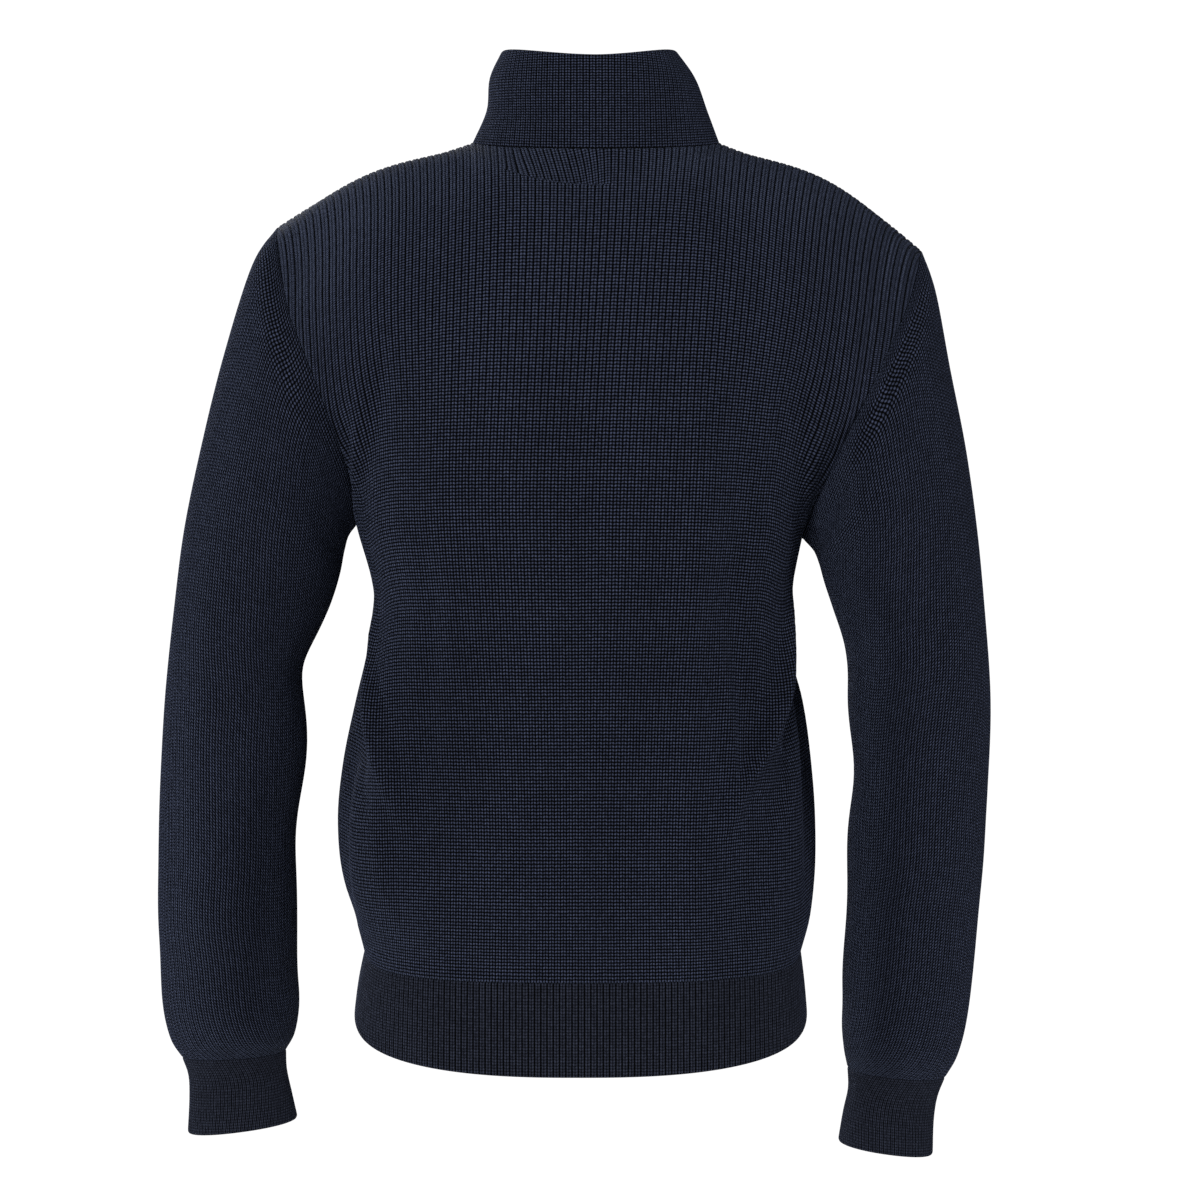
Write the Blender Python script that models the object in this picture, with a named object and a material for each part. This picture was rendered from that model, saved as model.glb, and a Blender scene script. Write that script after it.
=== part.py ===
"""A half-zip sweater in navy fisherman's rib, filled out as it is worn, with nobody in it.

Metres, +Z up. The wearer faces -Y and the wearer's left arm is at +X. The origin is the
centre of the neck seam. Every knitted piece is a closed wall: a plain inside, and an outside
whose columns stand up in turn as ribs. One raised rib stands for two or three of the knit's.
Pieces that are sewn together share a seam, a line of points with the direction of the
cloth's thickness at each, and both stop half a seam gap short of it.
"""

import copy
import math

import bmesh
import bpy
import numpy as np

# ---------------------------------------------------------------- driving sizes

WALL = 0.0022  # cloth between the ribs
RIB = 0.0008  # how far a rib stands out
SEAM_GAP = 0.0004
INNER_STEP = 4  # outer columns of a panel for each column of its plain inside

ROWS_BELOW_ARM = 7
ROWS_AT_ARM = 8
SHOULDER_COLUMNS = 24
BACK_NECK_COLUMNS = 32
FRONT_NECK_COLUMNS = 16  # each side of the zip
SLIT_COLUMNS = 2
SLIT_HALF_WIDTH = 0.006
SLIT_ROW = 2  # rows from the armpit up to the foot of the zip
SLEEVE_STEP = 5  # sleeve columns for each row of the armhole
UPPER_SLEEVE_ROWS = 4  # a sleeve is one cloth, in two solids so that each stays a plain tube
BAND_STEP = 2  # columns of the hem or collar for each column of a panel
HEM_ROWS = 2
CUFF_ROWS = 3
COLLAR_ROWS = 3

SQUARENESS = 2.5  # of the torso's superellipse
SLEEVE_SQUARENESS = 2.15
ARC_POINTS = 400  # on which the length of a superellipse is measured

TAPE_THICK = 0.0010
TAPE_REACH = 0.011  # how far a tape runs under the panel's edge
CHAIN_HALF_WIDTH = 0.0023
CHAIN_THICK = 0.0024
CHAIN_TO_TAPE = 0.0003
TAPE_DEPTH = 0.0004  # from the panel's inside to the tape
CHAIN_TOP = 0.0030  # from the collar's top edge down to the chain, inside the slider
CHAIN_FOOT = 0.0040  # from the foot of the slit up to the chain
STOP_ALONG = (0.0008, 0.0036)  # the bottom stop, from the foot of the slit
STOP_HALF_THICK = 0.0015

# The slider's grid: across the zip, down it from the collar's top edge, and out from the
# middle of the tapes.
SLIDER_ACROSS = (-0.0042, -0.0010, 0.0010, 0.0042)
SLIDER_DOWN = (0.0, 0.0010, 0.0025, 0.0085, 0.0100, 0.0115)
SLIDER_OUT = (-0.0028, -0.0016, 0.0016, 0.0028, 0.0048, 0.0058)
TAB_ACROSS = (-0.0028, -0.0014, 0.0014, 0.0028)
TAB_DOWN = (0.0049, 0.0061, 0.0115, 0.0340)
TAB_OUT = (0.0032, 0.0044)

NAVY = (0.013, 0.017, 0.030, 1.0)
NAVY_TRIM = (0.011, 0.014, 0.024, 1.0)
TAPE_NAVY = (0.008, 0.010, 0.018, 1.0)
METAL = (0.30, 0.30, 0.31, 1.0)


def table(columns, *rows):
    """A table with named columns, one row for each section."""
    return dict(zip(columns.split(), np.array(rows, float).T))


# The torso's sections from the ribbed hem's join up to the armpit, read at the side's height.
TORSO = table(
    "z left right back front",
    (-0.566, 0.166, -0.147, 0.115, -0.121),
    (-0.541, 0.173, -0.154, 0.121, -0.128),
    (-0.519, 0.181, -0.157, 0.123, -0.130),
    (-0.476, 0.186, -0.158, 0.119, -0.128),
    (-0.433, 0.182, -0.155, 0.114, -0.124),
    (-0.390, 0.173, -0.149, 0.111, -0.121),
    (-0.354, 0.1645, -0.140, 0.112, -0.121),
    (-0.318, 0.1590, -0.140, 0.116, -0.124),
    (-0.262, 0.172, -0.150, 0.120, -0.130),
)
# The middle column of each panel: the cloth hangs a little to the wearer's left.
MIDDLE_X = {"back": 0.012, "front": 0.004}
SIDE_SEAM_Y = -0.010

# Heights of the rows that run round the torso, at the back and front and at each side.
HEM_JOIN = {"middle": -0.578, "side": -0.566}
ARMPIT_Z = {"middle": -0.264, "left": -0.262, "right": -0.272}
HEM_FOOT = table(
    "down left right back front middle_z side_z sharpness",
    (0.0, 0.166, -0.147, 0.115, -0.121, -0.578, -0.566, 5.0),
    (0.5, 0.171, -0.150, 0.118, -0.123, -0.610, -0.590, 3.4),
    (1.0, 0.174, -0.152, 0.118, -0.123, -0.643, -0.612, 2.6),
)
# The power by which a row rises to the side seams, at the hem's join and at the armpit.
JOIN_SHARPNESS, ARMPIT_SHARPNESS = 5.0, 2.0

# Armholes, from the armpit to the shoulder's tip.
ARMHOLES = {
    ("left", "back"): table(
        "x y z",
        (0.1720, -0.010, -0.2620),
        (0.1725, 0.014, -0.2460),
        (0.1775, 0.046, -0.2180),
        (0.1885, 0.073, -0.1820),
        (0.2030, 0.079, -0.1430),
        (0.2135, 0.068, -0.1175),
        (0.2205, 0.048, -0.0930),
        (0.2275, 0.018, -0.0600),
        (0.2300, -0.020, -0.0480),
    ),
    ("left", "front"): table(
        "x y z",
        (0.1720, -0.010, -0.2620),
        (0.1700, -0.034, -0.2440),
        (0.1720, -0.062, -0.2120),
        (0.1790, -0.083, -0.1740),
        (0.1915, -0.086, -0.1380),
        (0.2045, -0.075, -0.1080),
        (0.2190, -0.052, -0.0780),
        (0.2300, -0.020, -0.0480),
    ),
    ("right", "back"): table(
        "x y z",
        (-0.1495, -0.010, -0.2720),
        (-0.1535, 0.014, -0.2560),
        (-0.1640, 0.044, -0.2290),
        (-0.1775, 0.072, -0.1960),
        (-0.1925, 0.081, -0.1660),
        (-0.2065, 0.074, -0.1360),
        (-0.2205, 0.053, -0.1060),
        (-0.2300, 0.022, -0.0770),
        (-0.2350, -0.018, -0.0650),
    ),
    ("right", "front"): table(
        "x y z",
        (-0.1495, -0.010, -0.2720),
        (-0.1510, -0.034, -0.2540),
        (-0.1575, -0.062, -0.2220),
        (-0.1680, -0.083, -0.1840),
        (-0.1810, -0.086, -0.1500),
        (-0.1985, -0.075, -0.1180),
        (-0.2190, -0.050, -0.0900),
        (-0.2350, -0.018, -0.0650),
    ),
}

# Upright lines of the yoke from the armpit's level (rise 0) to the top edge (rise 1):
# at the centre, below the side of the neck, and below the middle of the shoulder.
YOKE = {
    ("back", "centre"): table(
        "rise y z",
        (0.00, 0.120, -0.264),
        (0.25, 0.125, -0.203),
        (0.50, 0.123, -0.134),
        (0.75, 0.107, -0.063),
        (1.00, 0.068, 0.000),
    ),
    ("back", "neck"): table(
        "rise y z",
        (0.00, 0.117, -0.264),
        (0.25, 0.121, -0.199),
        (0.50, 0.115, -0.122),
        (0.75, 0.078, -0.036),
        (0.88, 0.038, -0.001),
        (1.00, -0.012, 0.012),
    ),
    ("back", "shoulder"): table(
        "rise y z",
        (0.00, 0.110, -0.264),
        (0.25, 0.115, -0.190),
        (0.50, 0.105, -0.112),
        (0.75, 0.065, -0.042),
        (0.88, 0.030, -0.019),
        (1.00, -0.016, -0.0165),
    ),
    ("front", "centre"): table(
        "rise y z",
        (0.00, -0.130, -0.264),
        (0.25, -0.137, -0.220),
        (0.50, -0.134, -0.163),
        (0.75, -0.107, -0.104),
        (1.00, -0.062, -0.056),
    ),
    ("front", "neck"): table(
        "rise y z",
        (0.00, -0.127, -0.264),
        (0.25, -0.131, -0.196),
        (0.50, -0.118, -0.115),
        (0.75, -0.078, -0.040),
        (0.88, -0.048, -0.010),
        (1.00, -0.012, 0.012),
    ),
    ("front", "shoulder"): table(
        "rise y z",
        (0.00, -0.118, -0.264),
        (0.25, -0.121, -0.196),
        (0.50, -0.109, -0.126),
        (0.75, -0.074, -0.060),
        (0.88, -0.047, -0.034),
        (1.00, -0.016, -0.0165),
    ),
}
NECK_SIDE = {"left": (0.088, -0.012, 0.012), "right": (-0.088, -0.012, 0.012)}
BACK_NECK = (0.0, 0.068, 0.0)
FRONT_NECK = (0.0, -0.062, -0.056)
NECK_ACROSS = 0.4  # share of the half width taken by the neck
SHOULDER_ACROSS = 0.7
NECK_ROUND = 1.8  # how roundly the neckline falls to the front
SHOULDER_ARCH = {"left": 0.007, "right": 0.011}  # how far a shoulder seam bows up
ARCH_LEAN = 1.3  # over 1, the bow is fullest nearer the sleeve
ROW_BLEND = 0.6  # the rise up to which the armpit's row, and past which the top edge, is followed
YOKE_SOFTENING = 10  # passes that round off the line below the side of the neck

# Sleeves, ring by ring from the armhole down: the outer and inner edge of each ring.
SLEEVE_LEFT = table(
    "outer_x outer_z inner_x inner_z middle_y half_depth",
    (0.2300, -0.048, 0.1720, -0.262, -0.002, 0.083),
    (0.2460, -0.075, 0.1790, -0.272, -0.001, 0.083),
    (0.2660, -0.140, 0.1820, -0.284, 0.000, 0.081),
    (0.2820, -0.205, 0.1850, -0.299, 0.001, 0.078),
    (0.2950, -0.268, 0.1910, -0.319, 0.002, 0.073),
    (0.3025, -0.330, 0.2030, -0.350, 0.003, 0.066),
    (0.3090, -0.386, 0.2105, -0.390, 0.002, 0.060),
    (0.3135, -0.445, 0.2125, -0.445, -0.003, 0.056),
    (0.3160, -0.506, 0.2165, -0.504, -0.011, 0.053),
    (0.3165, -0.565, 0.2185, -0.563, -0.021, 0.051),
    (0.3160, -0.610, 0.2175, -0.607, -0.028, 0.048),
    (0.3110, -0.637, 0.2210, -0.634, -0.031, 0.043),
    (0.3025, -0.652, 0.2280, -0.648, -0.032, 0.035),
)
SLEEVE_RIGHT = table(
    "outer_x outer_z inner_x inner_z middle_y half_depth",
    (-0.2350, -0.065, -0.1495, -0.272, -0.002, 0.083),
    (-0.2435, -0.094, -0.1575, -0.282, -0.001, 0.083),
    (-0.2535, -0.150, -0.1610, -0.292, 0.000, 0.081),
    (-0.2650, -0.210, -0.1650, -0.305, 0.001, 0.078),
    (-0.2735, -0.272, -0.1710, -0.323, 0.002, 0.073),
    (-0.2790, -0.334, -0.1805, -0.354, 0.003, 0.066),
    (-0.2830, -0.392, -0.1845, -0.394, 0.002, 0.060),
    (-0.2820, -0.450, -0.1825, -0.450, -0.003, 0.056),
    (-0.2785, -0.513, -0.1815, -0.511, -0.011, 0.053),
    (-0.2750, -0.575, -0.1805, -0.573, -0.021, 0.051),
    (-0.2705, -0.622, -0.1800, -0.618, -0.028, 0.048),
    (-0.2640, -0.650, -0.1820, -0.645, -0.031, 0.043),
    (-0.2550, -0.667, -0.1850, -0.661, -0.032, 0.035),
)
CUFF_LEFT = table(
    "outer_x outer_z inner_x inner_z middle_y half_depth",
    (0.3025, -0.652, 0.2280, -0.648, -0.032, 0.0350),
    (0.2980, -0.666, 0.2275, -0.663, -0.033, 0.0320),
    (0.2975, -0.684, 0.2240, -0.680, -0.034, 0.0315),
    (0.2990, -0.709, 0.2200, -0.699, -0.036, 0.0330),
)
CUFF_RIGHT = table(
    "outer_x outer_z inner_x inner_z middle_y half_depth",
    (-0.2550, -0.667, -0.1850, -0.661, -0.032, 0.0350),
    (-0.2495, -0.682, -0.1855, -0.677, -0.033, 0.0315),
    (-0.2470, -0.700, -0.1820, -0.694, -0.034, 0.0310),
    (-0.2465, -0.725, -0.1785, -0.716, -0.036, 0.0320),
)

# The collar, from the neck seam up: half widths and depth of each ring, and its heights at
# the back, the sides and the front.
COLLAR = table(
    "up left right back front back_z side_z front_z",
    (0.00, 0.088, -0.088, 0.068, -0.062, 0.000, 0.012, -0.056),
    (0.30, 0.0785, -0.080, 0.064, -0.065, 0.020, 0.033, -0.034),
    (0.70, 0.0755, -0.070, 0.060, -0.066, 0.046, 0.059, -0.006),
    (1.00, 0.0670, -0.057, 0.057, -0.062, 0.0665, 0.0770, 0.016),
)

# The largest folds. Each runs down a panel from top to foot: `across` is its place as a share
# of the half width (+ is the wearer's left), `lean` how far it moves across on the way down.
FOLDS = {
    "back": table(
        "across top foot lean width height",
        (0.66, -0.330, -0.555, -0.02, 0.085, 0.0050),
        (0.82, -0.345, -0.550, 0.02, 0.075, -0.0080),
        (-0.72, -0.300, -0.470, 0.26, 0.080, 0.0050),
        (-0.86, -0.325, -0.545, 0.14, 0.080, -0.0080),
        (-0.46, -0.310, -0.500, 0.02, 0.060, 0.0030),
        (0.84, -0.170, -0.262, 0.06, 0.070, 0.0040),
        (-0.84, -0.170, -0.266, -0.06, 0.070, 0.0040),
    ),
    "front": table(
        "across top foot lean width height",
        (0.60, -0.320, -0.555, 0.05, 0.085, 0.0050),
        (0.78, -0.350, -0.550, -0.02, 0.075, -0.0070),
        (-0.62, -0.300, -0.500, 0.10, 0.080, 0.0050),
        (-0.80, -0.330, -0.550, 0.06, 0.080, -0.0070),
        (0.80, -0.150, -0.262, -0.10, 0.080, -0.0050),
        (-0.80, -0.155, -0.266, 0.10, 0.080, -0.0050),
    ),
}
FOLD_END = 0.7  # under 1, a fold keeps its height nearer to its ends
FOLD_MARGIN = 0.06  # share of the half width beside a side seam that stays flat

# Creases across a sleeve: `down` is the place along it, `around` from the outer edge (0) by
# the back (0.25) to the inner edge (0.5).
SLEEVE_CREASES = {
    "left": table(
        "down around reach length height",
        (0.455, 0.52, 0.16, 0.045, -0.0050),
        (0.545, 0.46, 0.18, 0.050, 0.0030),
        (0.640, 0.55, 0.20, 0.050, -0.0030),
    ),
    "right": table(
        "down around reach length height",
        (0.500, 0.49, 0.16, 0.045, 0.0025),
        (0.575, 0.52, 0.18, 0.045, -0.0045),
        (0.700, 0.45, 0.20, 0.050, -0.0025),
    ),
}
CREASE_FREE = (0.2, 0.1)  # shares of a sleeve at its top and foot without creases
ARMHOLE_RINGS = 4  # rings over which a sleeve loses the armhole's own form
ARMHOLE_KEPT = 0.7  # how much of that form the first ring has

# Places on the panels' grids. Rows run up from the hem's join, columns from right to left.
ARMPIT_ROW = ROWS_BELOW_ARM
TOP_ROW = ROWS_BELOW_ARM + ROWS_AT_ARM
ZIP_FOOT_ROW = ARMPIT_ROW + SLIT_ROW
RIGHT_OF_ZIP = SHOULDER_COLUMNS + FRONT_NECK_COLUMNS
LEFT_OF_ZIP = RIGHT_OF_ZIP + SLIT_COLUMNS
EDGE_COLUMN = {"left": -1, "right": 0}
NEXT_COLUMN = {"left": -2, "right": 1}
NECK_OF_BACK = slice(SHOULDER_COLUMNS, SHOULDER_COLUMNS + BACK_NECK_COLUMNS + 1)
NECK_OF_FRONT = {
    "right": slice(SHOULDER_COLUMNS, RIGHT_OF_ZIP + 1),
    "left": slice(LEFT_OF_ZIP, LEFT_OF_ZIP + FRONT_NECK_COLUMNS + 1),
}
SHOULDER_OF = {
    ("right", "back"): slice(0, SHOULDER_COLUMNS + 1),
    ("right", "front"): slice(0, SHOULDER_COLUMNS + 1),
    ("left", "back"): slice(SHOULDER_COLUMNS + BACK_NECK_COLUMNS, None),
    ("left", "front"): slice(LEFT_OF_ZIP + FRONT_NECK_COLUMNS, None),
}
# Where the back's part of the neck seam starts and ends, counted from the zip's right edge.
SIDE_OF_NECK = {"right": FRONT_NECK_COLUMNS, "left": FRONT_NECK_COLUMNS + BACK_NECK_COLUMNS}


# ---------------------------------------------------------------- curves


def smooth_through(keys, values, at):
    """A smooth curve through values at keys, read at the places in `at`."""
    keys = np.asarray(keys, float)
    values = np.asarray(values, float)
    at = np.clip(np.asarray(at, float), keys.min(), keys.max())
    slopes = np.gradient(values, keys, axis=0)
    k = np.clip(np.searchsorted(keys, at, side="right") - 1, 0, len(keys) - 2)
    step = keys[k + 1] - keys[k]
    t = (at - keys[k]) / step
    if values.ndim > 1:
        step, t = step[..., None], t[..., None]
    return (
        (2 * t**3 - 3 * t**2 + 1) * values[k]
        + (t**3 - 2 * t**2 + t) * step * slopes[k]
        + (3 * t**2 - 2 * t**3) * values[k + 1]
        + (t**3 - t**2) * step * slopes[k + 1]
    )


def smoothstep(low, high, value):
    t = np.clip((value - low) / (high - low), 0.0, 1.0)
    return t * t * (3 - 2 * t)


def evenly_along(points, count):
    """`count` + 1 points at equal steps along a line of points."""
    lengths = np.concatenate([[0], np.cumsum(np.linalg.norm(np.diff(points, axis=0), axis=1))])
    places = np.linspace(0, lengths[-1], count + 1)
    return np.stack([np.interp(places, lengths, points[:, k]) for k in range(3)], axis=1)


def quarter_arc(share, squareness, flatness):
    """The place (along, out) on a quarter superellipse at each share of its length.

    It starts at (0, 1), the middle of the back, and ends at (1, 0), the side.
    """
    angle = np.linspace(0, math.pi / 2, ARC_POINTS)
    along = np.sin(angle) ** (2 / squareness)
    out = np.cos(angle) ** (2 / squareness)
    step = np.hypot(np.diff(along), flatness * np.diff(out))
    length = np.concatenate([[0], np.cumsum(step)])
    share = np.clip(share, 0, 1) * length[-1]
    return np.interp(share, length, along), np.interp(share, length, out)


def unit(vectors):
    return vectors / np.maximum(np.linalg.norm(vectors, axis=-1, keepdims=True), 1e-12)


def refine(points, pieces):
    """Points along the straight lines between given points, `pieces` to each line."""
    first, last = points[:-1], points[1:]
    shares = np.arange(pieces) / pieces
    fine = first[:, None] + (last - first)[:, None] * shares[None, :, None]
    return np.concatenate([fine.reshape(-1, points.shape[1]), points[-1:]])


def grid_normals(grid, inside, ring=False):
    """The outward direction at each point of a grid; `inside` is a point or points within."""
    if ring:
        wrapped = np.concatenate([grid[:, -2:-1], grid, grid[:, 1:2]], axis=1)
        across = (wrapped[:, 2:] - wrapped[:, :-2]) / 2
    else:
        across = np.gradient(grid, axis=1)
    up = np.gradient(grid, axis=0)
    normals = unit(np.cross(across, up))
    outward = np.sign((normals * (grid - inside)).sum(axis=-1).mean())
    return normals * outward


# ---------------------------------------------------------------- the panels' surfaces


def across_shares(panel):
    """The place of each outer column of a panel, -1 at the right edge to 1 at the left."""
    shoulder = np.linspace(NECK_ACROSS, 1, SHOULDER_COLUMNS + 1)
    if panel == "back":
        neck = np.linspace(-NECK_ACROSS, NECK_ACROSS, BACK_NECK_COLUMNS + 1)
    else:
        slit = SLIT_HALF_WIDTH / NECK_SIDE["left"][0] * NECK_ACROSS
        side = np.linspace(slit, NECK_ACROSS, FRONT_NECK_COLUMNS + 1)
        neck = np.concatenate([-side[::-1], [0.0], side])
    return np.concatenate([-shoulder[::-1][:-1], neck, shoulder[1:]])


def ring_row(panel, across, wide, deep, middle_z, side_z, sharpness):
    """Half a ring round the torso. `wide` and `side_z` are given for the left and right."""
    points = np.empty((len(across), 3))
    depth = deep - SIDE_SEAM_Y
    for side, sign in (("left", 1), ("right", -1)):
        here = across * sign >= 0
        share = np.abs(across[here])
        half = wide[side] - MIDDLE_X[panel]
        along, out = quarter_arc(share, SQUARENESS, abs(depth / half))
        points[here, 0] = MIDDLE_X[panel] + half * along
        points[here, 1] = SIDE_SEAM_Y + depth * out
        points[here, 2] = middle_z + (side_z[side] - middle_z) * share**sharpness
    return points


def torso_row(panel, share_up, across):
    """One row round the torso: share_up is 0 at the hem's join and 1 at the armpit."""
    middle_z = HEM_JOIN["middle"] + (ARMPIT_Z["middle"] - HEM_JOIN["middle"]) * share_up
    side_z = {
        side: HEM_JOIN["side"] + (ARMPIT_Z[side] - HEM_JOIN["side"]) * share_up
        for side in ("left", "right")
    }
    wide = {side: smooth_through(TORSO["z"], TORSO[side], side_z[side]) for side in side_z}
    deep = smooth_through(TORSO["z"], TORSO[panel], middle_z)
    sharpness = JOIN_SHARPNESS + (ARMPIT_SHARPNESS - JOIN_SHARPNESS) * share_up
    return ring_row(panel, across, wide, deep, middle_z, side_z, sharpness)


def top_row(panel, across):
    """The panel's top edge: shoulder seam, neckline, shoulder seam."""
    points = np.empty((len(across), 3))
    middle = np.array(BACK_NECK if panel == "back" else FRONT_NECK)
    for side, sign in (("left", 1), ("right", -1)):
        neck = np.array(NECK_SIDE[side])
        tip = armhole_point(side, panel, 1.0)
        place = across * sign
        on_neck = (place >= 0) & (place <= NECK_ACROSS)
        angle = place[on_neck] / NECK_ACROSS * math.pi / 2
        points[on_neck, 0] = neck[0] * np.sin(angle)
        points[on_neck, 1] = neck[1] + (middle[1] - neck[1]) * np.cos(angle)
        fall = 1 - np.cos(angle) if panel == "back" else np.sin(angle) ** NECK_ROUND
        points[on_neck, 2] = middle[2] + (neck[2] - middle[2]) * fall
        on_shoulder = place > NECK_ACROSS
        along = ((place[on_shoulder] - NECK_ACROSS) / (1 - NECK_ACROSS))[:, None]
        line = neck + (tip - neck) * along
        line[:, 2] += SHOULDER_ARCH[side] * np.sin(math.pi * along[:, 0] ** ARCH_LEAN)
        points[on_shoulder] = line
    return points


def armhole_point(side, panel, rise):
    line = np.stack([ARMHOLES[side, panel][axis] for axis in "xyz"], axis=1)
    knots = np.linalg.norm(np.diff(line, axis=0), axis=1)
    keys = np.concatenate([[0], np.cumsum(knots)])
    return smooth_through(keys / keys[-1], line, rise)


def yoke_line(panel, name, rise):
    """The place (y, z) on one of the yoke's upright lines."""
    line = YOKE[panel, name]
    return np.array([smooth_through(line["rise"], line[axis], rise) for axis in "yz"])


def yoke_row(panel, rise, across):
    """One row above the armpit: rise is 0 at the armpit and 1 at the top edge."""
    left, right = armhole_point("left", panel, rise), armhole_point("right", panel, rise)
    centre, neck, shoulder = (
        yoke_line(panel, name, rise) for name in ("centre", "neck", "shoulder")
    )
    droop = armhole_point("right", panel, 1.0)[2] - armhole_point("left", panel, 1.0)[2]
    right_shoulder = shoulder + (0.0, droop / 2 * rise**2)
    stations = (-1, -SHOULDER_ACROSS, -NECK_ACROSS, 0, NECK_ACROSS, SHOULDER_ACROSS, 1)
    lines = np.array([right[1:], right_shoulder, neck, centre, neck, shoulder, left[1:]])
    points = np.empty((len(across), 3))
    middle_x = MIDDLE_X[panel] * (1 - smoothstep(0, 1, rise))
    points[:, 0] = np.where(
        across >= 0,
        middle_x + (left[0] - middle_x) * across,
        middle_x - (right[0] - middle_x) * across,
    )
    points[:, 1:] = smooth_through(stations, lines, across)
    return points


def fold_heights(panel, across, z):
    """How far the folds lift the cloth at a place on a panel."""
    total = np.zeros(np.broadcast(across, z).shape)
    for across_at, top, foot, lean, width, height in zip(*FOLDS[panel].values()):
        down = np.clip((top - z) / (top - foot), 0, 1)
        centre = across_at + lean * (down - 0.5)
        ends = np.sin(math.pi * down) ** FOLD_END
        total += height * ends * np.exp(-(((across - centre) / width) ** 2))
    return total * np.clip((1 - np.abs(across)) / FOLD_MARGIN, 0, 1)


def panel_grid(panel):
    """The panel's surface between the ribs, as rows of points."""
    across = across_shares(panel)
    rows = [torso_row(panel, k / ROWS_BELOW_ARM, across) for k in range(ROWS_BELOW_ARM + 1)]
    armpit_error = rows[-1] - yoke_row(panel, 0.0, across)
    top_error = top_row(panel, across) - yoke_row(panel, 1.0, across)
    for k in range(1, ROWS_AT_ARM + 1):
        rise = k / ROWS_AT_ARM
        row = yoke_row(panel, rise, across)
        row += armpit_error * (1 - smoothstep(0, ROW_BLEND, rise))
        row += top_error * smoothstep(ROW_BLEND, 1, rise)
        rows.append(row)
    grid = np.array(rows)
    for side, column in EDGE_COLUMN.items():
        for k in range(1, ROWS_AT_ARM + 1):
            grid[ARMPIT_ROW + k, column] = armhole_point(side, panel, k / ROWS_AT_ARM)
    soften(grid[ARMPIT_ROW + 1: TOP_ROW, :, 1:])
    normals = grid_normals(grid, axis_points(grid))
    return grid + normals * fold_heights(panel, across[None, :], grid[..., 2])[..., None]


def soften(rows):
    """Evens the rows out from side to side, in place, and leaves their ends alone."""
    for _ in range(YOKE_SOFTENING):
        rows[:, 1:-1] = (rows[:, :-2] + 2 * rows[:, 1:-1] + rows[:, 2:]) / 4


def axis_points(grid):
    """Points inside the torso beside each point of a grid."""
    inside = grid.copy()
    inside[..., 0] *= 0.5
    inside[..., 1] = 0.0
    inside[..., 2] = np.minimum(grid[..., 2] - 0.02, -0.08)
    return inside


# ---------------------------------------------------------------- the bands and sleeves


def hem_grid(panel, across, join):
    """A hem band, from its join with the panel down to its foot."""
    rows = [join]
    for down in np.linspace(0, 1, HEM_ROWS + 1)[1:]:
        read = {name: smooth_through(HEM_FOOT["down"], HEM_FOOT[name], down)
                for name in HEM_FOOT}
        wide = {side: read[side] for side in ("left", "right")}
        side_z = {side: read["side_z"] for side in ("left", "right")}
        rows.append(ring_row(panel, across, wide, read[panel], read["middle_z"], side_z,
                             read["sharpness"]))
    return np.array(rows)


def collar_angles(points):
    """The angle round the neck of points on the neck seam: 0 at the back, + to the left."""
    side_y = NECK_SIDE["left"][1]
    forward = points[:, 1] - side_y
    reach = np.where(forward > 0, BACK_NECK[1] - side_y, side_y - FRONT_NECK[1])
    return np.arctan2(points[:, 0] / NECK_SIDE["left"][0], forward / reach)


def collar_ring(up, angle):
    """A ring of the collar at a share of its height."""
    read = {name: smooth_through(COLLAR["up"], COLLAR[name], up) for name in COLLAR}
    side_y = NECK_SIDE["left"][1]
    sine, cosine = np.sin(angle), np.cos(angle)
    at_back = cosine >= 0
    x = np.where(sine >= 0, read["left"], -read["right"]) * sine
    y = side_y + np.where(at_back, read["back"] - side_y, side_y - read["front"]) * cosine
    end_z = np.where(at_back, read["back_z"], read["front_z"])
    z = end_z + (read["side_z"] - end_z) * np.abs(sine) ** NECK_ROUND
    return np.stack([x, y, z], axis=1)


def sleeve_ring(sections, place, columns):
    """A ring of a sleeve: from its outer edge by the back and the inner edge to the front."""
    keys = np.arange(len(sections["outer_x"]))
    read = {name: smooth_through(keys, sections[name], place) for name in sections}
    outer = np.array([read["outer_x"], read["middle_y"], read["outer_z"]])
    inner = np.array([read["inner_x"], read["middle_y"], read["inner_z"]])
    centre, half = (outer + inner) / 2, (outer - inner) / 2
    angle = np.linspace(0, math.pi, ARC_POINTS)
    power = 2 / SLEEVE_SQUARENESS
    wide = np.sign(np.cos(angle)) * np.abs(np.cos(angle)) ** power
    deep = np.sin(angle) ** power * read["half_depth"]
    back, front = (
        centre + wide[:, None] * half + np.array([[0.0, sign, 0.0]]) * deep[:, None]
        for sign in (1, -1)
    )
    halves = evenly_along(back, columns // 2), evenly_along(front[::-1], columns // 2)
    return np.concatenate([halves[0], halves[1][1:]])


def sleeve_grid(side, armhole):
    """A sleeve's surface: the armhole's own points, then the rings of the table."""
    sections = {"left": SLEEVE_LEFT, "right": SLEEVE_RIGHT}[side]
    columns = len(armhole) - 1
    own = sleeve_ring(sections, 0, columns)
    rows = [armhole]
    for k in range(1, len(sections["outer_x"])):
        kept = ARMHOLE_KEPT * max(0.0, 1 - k / ARMHOLE_RINGS) ** 2
        rows.append(sleeve_ring(sections, k, columns) + (armhole - own) * kept)
    grid = np.array(rows)
    normals = grid_normals(grid, grid.mean(axis=1, keepdims=True), ring=True)
    down = np.linspace(0, 1, len(rows))[:, None]
    around = np.linspace(0, 1, columns + 1)[None, :]
    lift = np.zeros((len(rows), columns + 1))
    for at, centre, reach, length, height in zip(*SLEEVE_CREASES[side].values()):
        near = np.exp(-(((around - centre) / reach) ** 2) - ((down - at) / length) ** 2)
        lift += height * near
    free_top, free_foot = CREASE_FREE
    lift *= smoothstep(0, free_top, down) * smoothstep(0, free_foot, 1 - down)
    return grid + normals * lift[..., None]


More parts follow.
